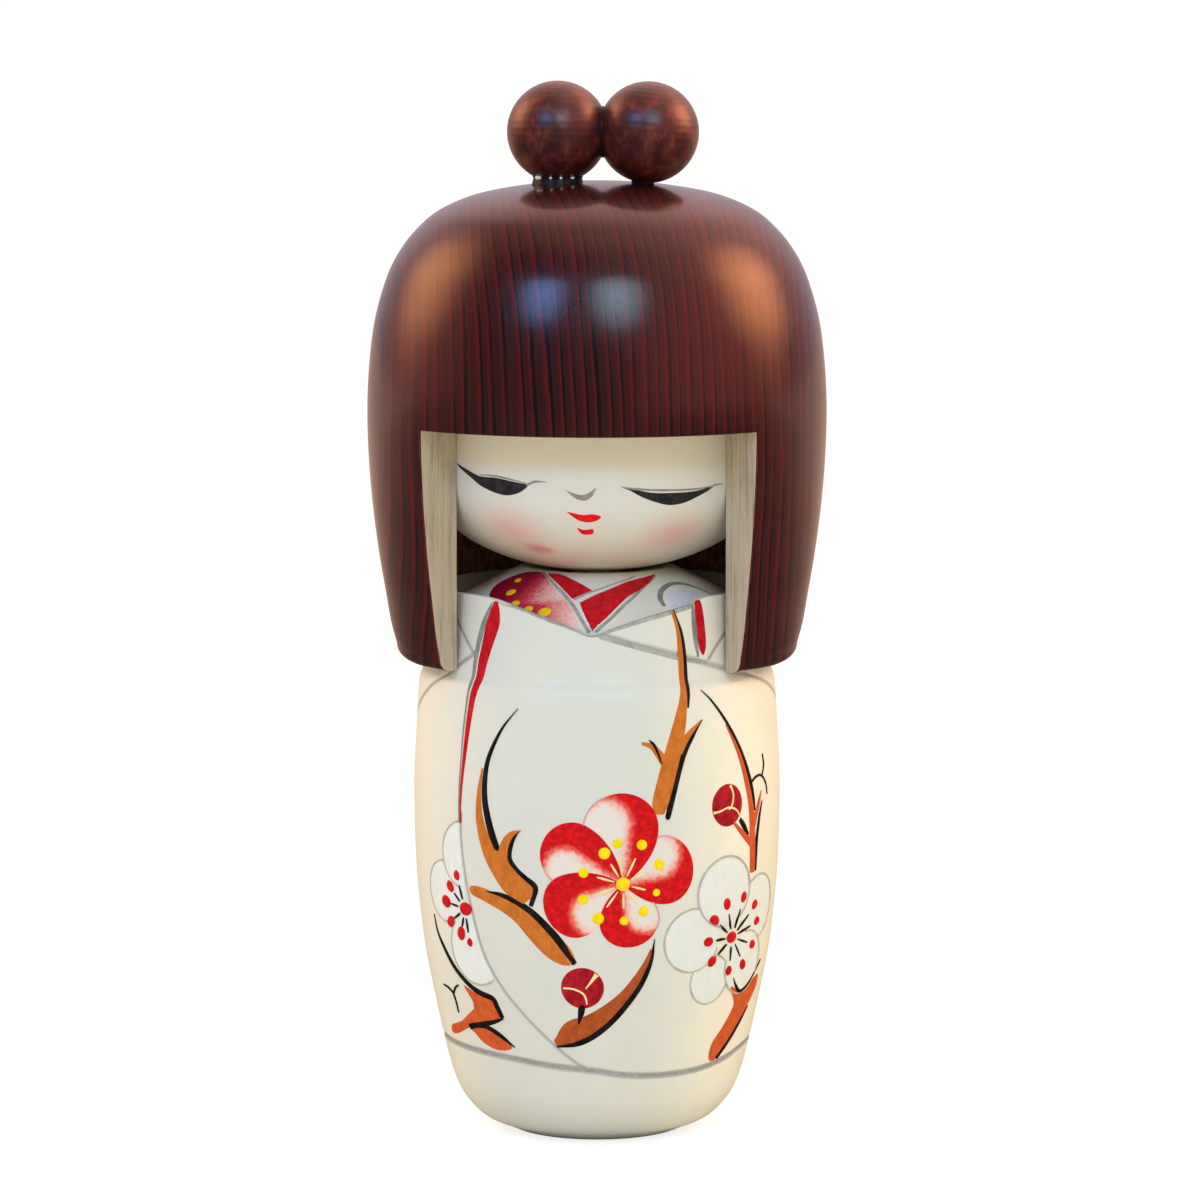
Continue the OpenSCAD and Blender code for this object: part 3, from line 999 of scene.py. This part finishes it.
def white_blossom(centre, petals, dots, limit=None):
    """Bluish-white petals with fine grey outlines, black filaments and red anthers.

    A petal is a circle (u, v, radius) and a point (u, v) that sees all of what shows of it.
    limit(angle, height) is true where the blossom isn't hidden by an overlapping panel.
    """
    fills, lines, anthers = Sketch(), Sketch(), Sketch()
    (deg0, along0), = barrel.flat([centre])[:, :2]
    per = float(barrel.per_degree(along0))

    def seen(u, v):
        if limit is None:
            return np.ones(np.shape(u), bool)
        return limit(deg0 + u / per, barrel.height_at(along0 + v))

    for level, (pu, pv, radius, *star) in enumerate(petals):
        outline = region_outline(
            star, lambda u, v: (np.hypot(u - pu, v - pv) < radius) & seen(u, v))
        dab(fills, barrel, beside(centre, star), outline, 0.05 + 0.025 * level, rings=10)
        for run in visible_runs((pu, pv, radius), petals[level + 1:], seen):
            route = route_of(barrel, centre, run[::3] + [run[-1]], 0.42)
            stroke(lines, barrel, route, 0.10 + 0.025 * level)
    for u, v, radius in dots:
        far = math.hypot(u, v)
        if far > 1:
            filament(anthers, centre, (u, v), (1.5 / far, 0.45, 0.70), 0.52, 0.7, 0.24)
        shape = circle(radius * 1.25, radius, 20, math.degrees(math.atan2(v, u)))
        dab(anthers, barrel, beside(centre, (u, v)), shape, 0.32, rings=3)
    fills.piece("white_blossom_petals_" + tag(centre), BASE, "paint_white", [PAINTS["white"]])
    lines.piece("white_blossom_outlines_" + tag(centre), BASE, "paint_grey", [PAINTS["outline"]])
    anthers.piece("white_blossom_anthers_" + tag(centre), BASE, "paint_red",
                  [PAINTS["red"], PAINTS["black"]])


def bud(sketch, centre, radius, seams):
    """A round red bud with cream lines where its petals meet, in shares of its radius."""
    dab(sketch, barrel, centre, circle(radius, count=48), 0.2, rings=8)
    for seam in seams:
        offsets = [(u * radius, v * radius) for u, v, w in seam]
        stations = zip(route_of(barrel, centre, offsets, 1), seam)
        stroke(sketch, barrel, [(deg, z, w) for (deg, z, one), (u, v, w) in stations], 0.3, paint=1)


def patch(sketch, surface, centre, corners, height=0.13, paint=0, rings=6, steps=4):
    """A dab whose outline runs smoothly through (angle, height) corners."""
    dab(sketch, surface, centre, outline_round(surface, centre, corners, steps), height,
        rings=rings, paint=paint)


def paint_branches():
    """Brown boughs with a black shadow stroke along one side."""
    boughs, shadows = Sketch(), Sketch()
    brown = [
        [(-35, 60.5, 0.3), (-36, 57, 0.9), (-36, 53, 1.6), (-34, 49.5, 2.4), (-30.5, 46.6, 3.6),
         (-25, 43.6, 4.8), (-20.5, 41.5, 4.4), (-18.8, 40.5, 3.4)],
        [(-27.5, 46, 2.6), (-26.5, 48.4, 2.2), (-24.5, 50.4, 1.3), (-21, 51.3, 0.3)],
        [(-40.5, 41.4, 0.9), (-39, 41.1, 1.8), (-35, 40.7, 2.2), (-28, 39.5, 2.5),
         (-22, 38, 3.1), (-16.5, 35.7, 4), (-11, 33.2, 4.3), (-7, 31.6, 3.2), (-5, 30.9, 1.6)],
        [(30, 85, 0.5), (32, 82, 0.9), (32.4, 78, 1.2), (32, 74, 1.1), (31, 71, 1.6),
         (29.5, 67.5, 2.5), (27, 63, 3.1), (24.5, 58.5, 3.4), (22.7, 55.6, 3.0), (22.4, 54, 1.6)],
        [(29, 63.5, 2), (33, 66, 1.3), (37.5, 68.1, 0.2)],
        [(24.5, 62, 1.8), (20.5, 64.4, 1.0), (17, 65.1, 0.5)],
    ]
    rust = [
        [(47.5, 67, 0.2), (53, 62.4, 0.9), (56.5, 57.8, 1.3), (59, 53.5, 1.6), (60, 49, 1.9),
         (60.4, 45.5, 1.9), (60.6, 43, 1.7)],
        [(60.5, 50.5, 1.5), (63.4, 53.6, 1.0), (65.2, 55.6, 0.2)],
        [(60, 47.4, 1.5), (54.5, 49.6, 1.1), (50, 51.6, 0.5)],
    ]
    black = [
        [(-22.5, 70.2, 0.1), (-28, 66.9, 0.5), (-32.3, 62.8, 0.85), (-33.8, 59.5, 1.05),
         (-33.8, 55.6, 1.25), (-32, 51.6, 1.4), (-29.6, 48.4, 1.3), (-29.2, 47.9, 0.6)],
        [(-21.5, 51.2, 0.1), (-24, 49.4, 0.8), (-24.9, 46.9, 0.9), (-22.4, 45.1, 0.85),
         (-19.5, 43.9, 0.9), (-16.4, 42.6, 1.0), (-17.0, 41, 0.9), (-18.0, 39.6, 0.8)],
        [(-34, 41.3, 0.1), (-28, 40.9, 0.8), (-22, 39.8, 1.1), (-17, 38.2, 1.3), (-11, 35.2, 1.5),
         (-7, 32.6, 1.5), (-4.2, 30.6, 0.9)],
        [(30.5, 85.2, 0.2), (33.0, 81.6, 0.7), (33.8, 77.6, 0.8), (33.5, 73.5, 0.7),
         (32.8, 70.2, 0.35)],
        [(19.2, 65.6, 0.1), (20.6, 64.9, 0.6), (22, 63.6, 0.7), (23.2, 61.8, 0.2)],
        [(37.9, 68.2, 0.1), (34.4, 66, 0.8), (31.2, 63.4, 1.0), (29, 60.4, 1.0),
         (27, 57, 1.05), (25.2, 53.6, 1.0), (25, 53.1, 0.5)],
        [(21.5, 34.4, 0.1), (20.6, 31.0, 0.8), (17.8, 27.5, 1.1), (13.4, 24.3, 1.2), (8, 21.3, 1.2),
         (2, 19.0, 1.2), (-4, 17.6, 1.0), (-11.3, 17.0, 0.4)],
        [(38, 72.7, 0.1), (42, 70.9, 0.4), (48, 67.3, 0.6), (53.6, 63.0, 0.9), (57.8, 58.6, 1.0),
         (60, 55.2, 1.0), (61, 52.8, 0.3)],
        [(65.6, 54, 0.1), (64.0, 51.5, 0.7), (62.6, 48, 0.9), (62.2, 43.2, 0.8)],
        [(53, 51.9, 0.8), (55, 50.8, 1.1), (57.4, 49.2, 0.7)],
        [(55, 26.5, 0.2), (57.5, 25, 0.9), (60.9, 23.8, 1.1), (66, 24.8, 0.9), (74, 28, 0.2)],
        [(69.8, 20.8, 0.1), (66, 19.0, 0.8), (60.5, 16.4, 1.1), (53.6, 13.4, 0.9)],
        [(-61.8, 35.8, 0.1), (-60.5, 33.2, 0.5), (-57.5, 31, 0.8), (-52, 27.9, 1.0),
         (-45.5, 25.6, 1.0), (-40, 24.5, 1.1), (-35, 23.9, 1.1), (-33.6, 22.7, 1.1),
         (-31.8, 20.9, 0.9)],
        [(-31.5, 20.8, 0.3), (-36, 20.1, 0.9), (-42, 19.4, 1.2), (-48.8, 18.6, 1.4)],
        [(-46, 18.9, 1.0), (-39.8, 19.0, 0.9), (-34, 18.0, 0.9), (-28, 16.3, 0.2)],
        [(-62.2, 24.4, 0.3), (-58.5, 24.1, 0.5), (-55.8, 23.5, 0.5)],
        [(-51.4, 25.1, 0.3), (-53.8, 24.5, 0.5), (-55.8, 23.4, 0.5)],
        [(-55.8, 23.4, 0.5), (-54.9, 22.0, 0.5), (-54.6, 20.4, 0.35)],
        [(59, 57.3, 0.5), (62, 58.0, 0.5), (65.5, 58, 0.45), (68.5, 56.6, 0.35), (69.5, 54.8, 0.2)],
        [(66.8, 61.3, 0.3), (67.4, 59.6, 0.35), (66, 58, 0.3)],
        [(-2.0, 24.0, 1.2), (-2.4, 22.7, 1.1), (-3.3, 20.9, 0.4)],
    ]
    umber = [(20.6, 32.8, 0.4), (19, 30.4, 1.3), (16, 27.6, 2.1), (12, 24.9, 2.8), (6, 22.3, 3.6),
             (0, 20.3, 4.6), (-5, 19.5, 4.7), (-9.3, 18.1, 3.0), (-12, 17.6, 1.2)]
    stroke(boughs, barrel, umber, 0.11, paint=2)
    for route in brown:
        stroke(boughs, barrel, route, 0.13, across=7)
    for route in rust:
        stroke(boughs, barrel, route, 0.13, across=7, paint=1)
    for centre, corners in (
            ((61, 21.5), [(53.6, 26.2), (58, 25), (61, 23.8), (68, 25.0), (74.5, 25.6), (75.5, 23.6),
                          (70, 20.9), (62.5, 17.3), (54, 13.4), (49.2, 13.5), (49.4, 16), (53.6, 18.3),
                          (57.6, 20.8), (58.2, 22.4), (54.6, 24.6)]),
            ((-39, 22), [(-48.4, 25.3), (-42.4, 24.4), (-35.2, 23.7), (-33.8, 22.4), (-32.6, 21),
                         (-39, 19.7), (-44.4, 21.4), (-44.8, 22.8), (-46.6, 24)]),
            ((-50, 19), [(-38, 19.9), (-47.6, 18.6), (-59, 16.6), (-63.6, 16.7), (-62, 17.9),
                         (-54.2, 19.0), (-48.1, 20.7), (-42.5, 22.2), (-37.5, 21.6)]),
            ((-37.5, 17.3), [(-48, 18.3), (-41.3, 19), (-36, 18.1), (-29.4, 16.4), (-31.8, 15.6),
                             (-37.3, 15.5), (-42.7, 16.3), (-46, 17.4)])):
        patch(boughs, barrel, centre, corners, 0.11, paint=1)
    for route in black:
        stroke(shadows, barrel, route, 0.18)
    boughs.piece("branches", BASE, "paint_brown",
                 [PAINTS["brown"], PAINTS["rust"], PAINTS["umber"]])
    shadows.piece("branch_shadows", BASE, "paint_black", [PAINTS["black"]])


def paint_linings():
    """The red sleeve linings that show at both front edges, each with a slate shadow."""
    red, slate, edge = Sketch(), Sketch(), Sketch()
    stroke(red, barrel, [(-35.0, 86.2, 0.9), (-35.1, 84.7, 2.2), (-35.7, 82.8, 3.2),
                         (-37.3, 79.8, 2.7), (-39.0, 76.3, 2.2), (-39.4, 73.2, 1.8),
                         (-40.4, 70.6, 1.5), (-42, 65.5, 1.2), (-43.2, 60, 0.85),
                         (-44, 55, 0.55), (-44.2, 51.5, 0.25)], 0.1)
    stroke(slate, barrel, [(-36.6, 86.0, 0.3), (-38.2, 84.4, 0.9), (-40.0, 82.4, 1.3),
                           (-41.4, 79.8, 1.3), (-42.4, 76.4, 1.1), (-42.2, 73.2, 0.8),
                           (-42.6, 70.6, 0.6), (-43.8, 65.5, 0.5), (-44.4, 60, 0.42),
                           (-44.8, 55, 0.38), (-44.8, 51.5, 0.3)], 0.07)
    stroke(red, barrel, [(41.0, 86.4, 0.7), (41.0, 85.6, 1.7), (41.3, 83.2, 2.0),
                         (41.5, 80.2, 1.95), (41.5, 78.6, 1.3), (41.4, 77.9, 0.3)], 0.1)
    stroke(slate, barrel, [(38.5, 85.8, 0.7), (38.6, 83.2, 1.1), (38.8, 80.2, 1.1),
                           (39.4, 77.7, 0.5)], 0.07)
    # Painted shadow: soft grey strokes just below the neckline's edge and below the lapel line.
    stroke(edge, barrel, [(3.6, 81.7, 0.2), (8, 82.2, 0.4), (13.5, 82.95, 0.6), (20, 83.75, 0.7),
                          (28, 84.55, 0.75), (35, 85.15, 0.75), (38, 85.4, 0.5)], 0.03)
    stroke(edge, barrel, [(-34, 86.0, 0.2), (-25, 85.2, 0.3), (-15, 83.8, 0.32),
                          (-5, 82.3, 0.28), (0, 81.5, 0.2)], 0.03)
    stroke(edge, barrel, [(3.4, 81.5, 0.5), (6, 81.1, 1.0), (12, 80.3, 0.95), (23, 78.8, 0.9),
                          (31, 77.7, 0.75), (38, 77.1, 0.6), (43, 76.7, 0.3)], 0.02)
    red.piece("sleeve_linings", BASE, "paint_red", [PAINTS["crimson"]])
    slate.piece("lining_shadows", BASE, "paint_grey", [PAINTS["slate"]])
    edge.piece("neckline_shadow", BASE, "paint_grey", [PAINTS["neckline_shade"]])


def paint_collar():
    """The under-collars and their pattern, painted on the turned neck."""
    red, bands, pattern, spots = Sketch(), Sketch(), Sketch(), Sketch()
    patch(red, neck, (6, 85.4), [(-4.8, 85.8), (-4.2, 86.0), (2.0, 86.9), (12, 87.8), (24, 88.6),
                                 (45, 89.15), (45.6, 89.05), (28, 87.9), (15, 86.0), (6.4, 83.8),
                                 (1.6, 82.2), (1.0, 82.1), (-1.8, 84.1)], 0.17, rings=12, steps=3)
    patch(red, neck, (-13, 87.9), [(-35, 89.35), (-34, 89.4), (-23.1, 89.35), (-9.1, 88.5),
                                   (0.2, 87.5), (-0.2, 87.3), (-4, 86.7), (-8.0, 86.3),
                                   (-13.2, 87.1), (-21.2, 88.2)], 0.17, rings=10, steps=3)
    stroke(bands, neck, [(-40, 89.45, 0.4), (-28, 88.6, 0.5), (-16, 87.2, 0.6),
                         (-8, 85.6, 0.65), (-3, 83.6, 0.65), (0.2, 81.8, 0.7)], 0.14)
    stroke(bands, neck, [(46, 89.0, 0.35), (30, 87.7, 0.5), (16.6, 85.8, 0.6), (8, 83.7, 0.65),
                         (2.4, 81.9, 0.6)], 0.14)
    stroke(bands, neck, [(-8, 86.3, 0.7), (-3, 87.0, 0.5), (3, 87.5, 0.45), (14, 88.3, 0.35),
                         (30, 89.1, 0.3)], 0.12)
    stroke(bands, neck, [(33.4, 85.2, 0.8), (34.4, 86.2, 1.0), (39.8, 87.2, 1.0), (50, 87.8, 1.0),
                         (60, 87.6, 0.9), (67, 86.7, 0.7), (69, 85.8, 0.4)], 0.12, paint=1)
    centre = (-35, 86.6)
    fade = 9.5
    dab(pattern, neck, centre, outline_round(neck, centre, [
        (-55, 85.6), (-65.5, 87.1), (-64, 88.5), (-54, 89.3), (-40, 89.35), (-24, 88.0),
        (-12, 86.3), (-5.5, 84.4), (-1.2, 82.1), (-8, 82.2), (-19, 83.2), (-43, 85.0)], 4), 0.06,
        rings=12, shade=lambda u, v: np.clip(0.70 - (u * 0.95 + v * 0.1) / fade
                                                + 0.35 * smoothstep(u - 2 * v, 5.5, 10), 0, 1))
    for *place, radius in ((-51.6, 88.1, 0.65), (-45, 86.6, 0.95), (-35.5, 85.3, 0.85),
                           (-27, 84.75, 0.85), (-19, 84.5, 1.15)):
        dot(spots, neck, place, radius, 0.25)
    patch(pattern, neck, (46, 86.1), [(34.4, 85.1), (37, 86.1), (43, 86.8), (50, 87.0), (57, 86.7),
                                      (60, 86.1), (50, 85.5), (40, 84.9)], 0.1, paint=1)
    red.piece("collar_lining", BASE, "paint_red", [PAINTS["crimson"]])
    bands.piece("collar_bands", BASE, "paint_grey", [PAINTS["band"], PAINTS["slate"]])
    pattern.piece("collar_pattern", BASE, "paint_red", [collar_paint, PAINTS["lilac"]])
    spots.piece("collar_dots", BASE, "paint_yellow", [PAINTS["gold"]])


def paint_face():
    """Lowered eyes, a tick of a nose and a small red mouth."""
    ink, soft, lips = Sketch(), Sketch(), Sketch()
    patch(ink, face, (-30, 104.3), [
        (-50, 107.3), (-49.4, 107.1), (-44.2, 106.15), (-38.4, 105.65), (-31.7, 105.6),
        (-25.8, 105.2), (-20, 104.85), (-19.7, 104.7), (-23, 103.55), (-27.3, 103.0),
        (-31.7, 103.2), (-38, 104.1), (-43.3, 105.4), (-49, 106.75)], 0.07, rings=8)
    patch(ink, face, (28, 102.8), [
        (11.8, 104.4), (13.8, 104.3), (18.2, 103.9), (22.1, 103.6), (28.8, 103.5), (35.9, 103.55),
        (42.5, 103.9), (45.5, 104.3), (42.5, 103.55), (37.6, 102.6), (32.6, 101.8),
        (27.4, 101.6), (22.2, 102.2), (17.6, 103.05), (13.8, 104.05)], 0.07, rings=8)
    stroke(soft, face, [(-20.6, 104.7, 0.5), (-17.6, 105.3, 0.55), (-13.5, 105.3, 0.1)], 0.05)
    stroke(soft, face, [(-39, 105.9, 0.15), (-32, 105.85, 0.4), (-26, 105.45, 0.4),
                        (-20.5, 105.0, 0.2)], 0.04)
    stroke(soft, face, [(10.6, 104.7, 0.1), (13.5, 104.4, 0.45), (20, 104.1, 0.5),
                        (29, 103.9, 0.5), (37, 103.9, 0.4), (43, 104.1, 0.2)], 0.04)
    stroke(soft, face, [(42, 103.85, 0.4), (45.6, 104.3, 0.4), (49, 104.3, 0.1)], 0.05)
    stroke(soft, face, [(-7, 104.1, 0.1), (-5, 103.5, 0.7), (-2.9, 103.05, 1.05),
                        (-0.8, 103.0, 1.25), (0.9, 103.5, 0.95), (2.6, 104.45, 0.25)], 0.05)
    patch(lips, face, (-0.9, 99.85), [
        (-7.2, 100.75), (-6.9, 100.75), (-3.9, 100.45), (-1.3, 100.25), (1.2, 100.4),
        (3.9, 100.15), (4.3, 99.85), (3.2, 99.4), (0.5, 99.05), (-2.7, 99.25), (-5.2, 99.95)],
        0.09, rings=5)
    patch(lips, face, (-0.9, 97.45), [(-4, 98.1), (-1.7, 97.8), (1.3, 97.95), (1.8, 97.6),
                                      (1.5, 97.15), (-0.9, 96.95), (-2.8, 97.2)], 0.09, rings=5)
    ink.piece("eyes", HEAD_UNIT, "paint_black", [PAINTS["eye"]])
    soft.piece("nose_and_lash_shadows", HEAD_UNIT, "paint_grey", [PAINTS["shadow"]])
    lips.piece("lips", HEAD_UNIT, "paint_red", [PAINTS["lip"]])


def build_glue():
    """Dark glue under both buns and between them, where it also stands for the crease's shade, and
    painted glints under the left one: tiny near-white balls in place of highlights.
    """
    left, right = bun_centres()
    ring, glints = Sketch(), Sketch()
    seat = left[2] - BUN_R - 0.35
    for centre, high, waist in (
            ((left[0], left[1], seat), 1.6,
             [(4.1, 0), (3.95, 0.6), (3.85, 1.0), (3.95, 1.35), (3.7, 1.6)]),
            ((PEG_RIGHT_X, right[1], seat), 0.75,
             [(1.95, 0), (1.75, 0.35), (1.8, 0.6), (1.6, 0.75)])):
        points, faces = revolve([(0, 0)] + through(waist, 4).tolist() + [(0, high)], 64)
        ring.add(points + np.array(centre), faces)
    # A ring of glue round the flats where the buns meet; its dark colour is also painted shade for the
    # crease between them
    round_r, thick, swell, columns = 3.72, 0.36, 0.32, 12
    around = np.linspace(0, 2 * math.pi, 73)[:, None]
    bend = np.linspace(0, 2 * math.pi, columns, endpoint=False)
    reach = round_r + swell * np.cos(bend)
    points = np.stack([BUN_MEET + thick * np.sin(bend) + 0 * around,
                       left[1] + reach * np.sin(around),
                       (left[2] + right[2]) / 2 + reach * np.cos(around)], -1)
    ring.add(points, grid_faces(len(around), columns, wrap=True))
    ring.piece("bun_glue_and_crease_shade", HEAD_UNIT, "glue", [glue])
    # Painted glints: near-white balls round the left bun's glue ring stand in for points of reflected
    # light.
    for degrees, radius, stretch in ((-47, 0.36, 2.0), (-13, 0.24, 1), (11, 0.24, 1),
                                     (39, 0.22, 1.7)):
        c, s = math.cos(math.radians(degrees)), math.sin(math.radians(degrees))
        ball = [(radius * math.sin(t), -radius * math.cos(t))
                for t in np.linspace(0.25, math.pi - 0.25, 9)]
        p, faces = revolve([(0, -radius)] + ball + [(0, radius)], 16)
        x, y, z = (p * (stretch, 1, 1)).T
        p = np.stack([x * c - y * s, x * s + y * c, z], -1)
        glints.add(p + (left[0] + 3.95 * s, left[1] - 3.95 * c, seat + 1.2), faces)
    glints.piece("glue_glints", HEAD_UNIT, "glue", [glint])


build_body()
build_head()
build_hair()
build_buns()
build_glue()
for node, wood in (("bun_dowel_left", peg_wood), ("bun_dowel_right", peg_wood),
                   ("neck_dowel", dowel_wood)):
    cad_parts[node].data.materials.clear()
    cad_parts[node].data.materials.append(wood)

paint_collar()
paint_linings()
paint_branches()
red_blossom((11, 43.3))
RIGHT_PETALS = [(-3.9, -6.4, 4.0, -3.9, -6.4), (-8.0, 0.4, 5.1, -8.0, 0.4),
                (6.9, 4.0, 5.2, 6.9, 4.0), (4.2, -4.6, 5.1, 4.2, -4.6),
                (-2.0, 7.6, 5.6, -2.0, 7.6)]
RIGHT_DOTS = [(0, 0, 0.95), (-1.8, 5.6, 0.95), (2.1, 6.2, 0.85), (5.5, 4.5, 0.8),
              (6.7, 1.7, 0.8), (6.0, -2.0, 0.85), (3.7, -4.9, 0.9), (0.1, -5.4, 0.75),
              (-4.0, -3.4, 0.85), (-5.1, -0.1, 0.85), (-4.2, 3.3, 0.95)]
white_blossom((51.8, 33.2), RIGHT_PETALS, RIGHT_DOTS)
OVERLAP_LINE = through(OVERLAP, 6)


def left_of_overlap(deg, z):
    order = np.argsort(OVERLAP_LINE[:, 1])
    edge = np.interp(z, OVERLAP_LINE[order, 1], OVERLAP_LINE[order, 0])
    return deg < edge - 0.9


LEFT_PETALS = [(1.4, -6.4, 5.7, -1.8, -5.4), (-4.9, 2.2, 4.9, -4.9, 2.2),
               (0.4, 8.6, 5.4, -2.2, 8.2)]
LEFT_DOTS = [(0, 0, 1.1), (-1.5, 5.2, 0.75), (-3.3, 3.2, 0.9), (-4.7, 0.6, 1.1),
             (-3.8, -2.5, 0.95), (-1.4, -4.1, 1.0), (0.5, -5.3, 0.6)]
white_blossom((-43.2, 37.9), LEFT_PETALS, LEFT_DOTS, left_of_overlap)
buds = Sketch()
bud(buds, (-1.8, 26.7), 3.35, [
    [(0.66, 0.70, 1.0), (0.42, 0.36, 0.7), (0.16, 0.0, 0.3)],
    [(-0.88, 0.0, 0.4), (-0.45, -0.02, 0.5), (0.0, -0.22, 0.5), (0.16, -0.5, 0.5),
     (0.2, -0.78, 0.3)]])
bud(buds, (47.5, 54.4), 3.35, [
    [(0.12, 0.92, 0.7), (0.3, 0.5, 0.5), (0.22, 0.0, 0.5), (0.0, -0.2, 0.4)],
    [(-0.92, -0.28, 0.6), (-0.5, -0.22, 0.5), (0.0, -0.1, 0.5), (0.5, -0.26, 0.5),
     (0.75, -0.55, 0.3)]])
buds.piece("buds", BASE, "paint_red", [PAINTS["bud"], PAINTS["cream"]])
paint_face()


# ---------------------------------------------------------------- stage, light and camera

FLOOR_COLOUR = (0.87, 0.85, 0.79)
AMBIENT = (0.78, 0.75, 0.62)
FLOOR_MIRRORED_NEAR, FLOOR_MIRRORED_FAR = (0.06, 0.05, 0.05), (0.80, 0.52, 0.50)
# What the lacquer mirrors: azimuth, elevation, angle at which a glow has faded out, colour
ROOM_LIGHTS = [
    (0, 90, 180, (0.03, 0.02, 0.02)),
    (180, 4, 84, (0.50, 0.43, 0.50)),
    (-150, 33, 42, (0.42, 0.24, 0.20)),
    (150, 33, 46, (0.24, 0.09, 0.06)),
    (115, 58, 68, (1.00, 0.50, 0.38)),
    (180, 66, 58, (0.45, 0.22, 0.16)),
    (62, 6, 62, (0.90, 0.25, 0.18)),
    (-98, 4, 48, (0.55, 0.18, 0.15)),
    (-29, 34, 16, (1.65, 3.4, 7.4)),
    (15, 35, 18, (3.1, 4.9, 6.1)),
    (-107, 26, 30, (4.4, 1.9, 0.85)),
    (103, 26, 29, (7.6, 2.8, 1.25)),
]
# Lamps that reflections don't see: name, azimuth, elevation, size, power, colour
LAMPS = [
    ("front_cool", -25, 31, 0.16, 1.4, (0.30, 0.45, 1.0)),
    ("front_white", 17, 31, 0.14, 1.0, (0.60, 0.82, 1.0)),
    ("side_warm_left", -108, 28, 0.40, 2.1, (1.0, 0.66, 0.40)),
    ("side_warm_right", 112, 28, 0.40, 2.6, (1.0, 0.65, 0.37)),
]
LAMP_DISTANCE, LIT_SPOT = 0.8, Vector((0, 0, 0.1))


def toward(azimuth, elevation):
    """Unit vector to an azimuth from the face, positive towards +X, and an elevation."""
    a, e = math.radians(azimuth), math.radians(elevation)
    return Vector((math.sin(a) * math.cos(e), -math.cos(a) * math.cos(e), math.sin(e)))


def by_ray(nodes, output, other, mirrored, seen):
    """Shows one shader to the camera, one in reflections and one to all other light."""
    path = nodes.node("LightPath")
    mix = nodes.add("MixShader", {0: path.outputs["Is Glossy Ray"], 1: other, 2: mirrored})
    mix = nodes.add("MixShader", {0: path.outputs["Is Camera Ray"], 1: mix, 2: seen})
    nodes.put(nodes.node(output).inputs[0], mix)


def build_floor():
    """A large floor: white to the camera, and dark in front where the lacquer mirrors it."""
    bpy.ops.mesh.primitive_circle_add(vertices=96, radius=6.0, fill_type="NGON")
    floor = bpy.context.object
    floor.name = "floor"
    material = bpy.data.materials.new("floor_white")
    material.use_nodes = True
    material.node_tree.nodes.clear()
    nodes = Nodes(material.node_tree)
    depth = nodes.part(nodes.add("TexCoord", {}, "Object"), 1)
    far = nodes.add("MapRange", {"Value": depth, "From Min": 0.15, "From Max": 0.8})
    mirrored = nodes.blend(far, FLOOR_MIRRORED_NEAR, FLOOR_MIRRORED_FAR)
    grey = nodes.add("BsdfDiffuse", {"Color": (0.35, 0.35, 0.35)})
    shine = nodes.add("Emission", {"Strength": 0.78})
    by_ray(nodes, "OutputMaterial", nodes.add("BsdfDiffuse", {"Color": FLOOR_COLOUR}),
           nodes.add("BsdfDiffuse", {"Color": mirrored}),
           nodes.add("AddShader", {0: grey, 1: shine}))
    floor.data.materials.append(material)


def build_room():
    """White to the camera, an even pale light, and soft coloured glows in reflections."""
    world = bpy.data.worlds.new("studio")
    world.use_nodes = True
    world.node_tree.nodes.clear()
    bpy.context.scene.world = world
    nodes = Nodes(world.node_tree)
    place = nodes.add("TexCoord", {}, "Generated")
    total = (0, 0, 0)
    for azimuth, elevation, fade, colour in ROOM_LIGHTS:
        near = nodes.add("VectorMath", {0: place, 1: toward(azimuth, elevation)}, "Value",
                         operation="DOT_PRODUCT")
        share = nodes.add("MapRange", {"Value": near, "From Min": math.cos(math.radians(fade))})
        glow = nodes.add("VectorMath", {0: colour, "Scale": nodes.math("POWER", share, 2)},
                         operation="SCALE")
        total = nodes.vector("ADD", total, glow)
    by_ray(nodes, "OutputWorld", nodes.add("Background", {"Color": AMBIENT}),
           nodes.add("Background", {"Color": total}),
           nodes.add("Background", {"Color": (1, 1, 1)}))


def area_light(name, azimuth, elevation, size, power, colour):
    """A square light at an azimuth from the face and an elevation, turned to the doll."""
    light = bpy.data.lights.new(name, "AREA")
    light.size = size
    light.energy = power
    light.color = colour
    lamp = bpy.data.objects.new(name, light)
    lamp.visible_glossy = False
    lamp.location = LIT_SPOT + LAMP_DISTANCE * toward(azimuth, elevation)
    lamp.rotation_euler = toward(azimuth, elevation).to_track_quat("Z", "Y").to_euler()
    bpy.context.scene.collection.objects.link(lamp)


def build_camera():
    turn, distance, height, aim = math.radians(3), 0.9, 0.192, 0.084
    data = bpy.data.cameras.new("camera")
    data.lens = 171.9
    data.sensor_width = 36
    data.shift_x = 0.0025
    data.clip_start = 0.01
    camera = bpy.data.objects.new("camera", data)
    camera.location = (distance * math.sin(turn), -distance * math.cos(turn), height)
    camera.rotation_euler = (math.pi / 2 - math.atan2(height - aim, distance), 0, turn)
    bpy.context.scene.collection.objects.link(camera)
    bpy.context.scene.camera = camera


build_floor()
build_room()
for lamp in LAMPS:
    area_light(*lamp)
build_camera()
bpy.context.scene.view_settings.view_transform = "Standard"
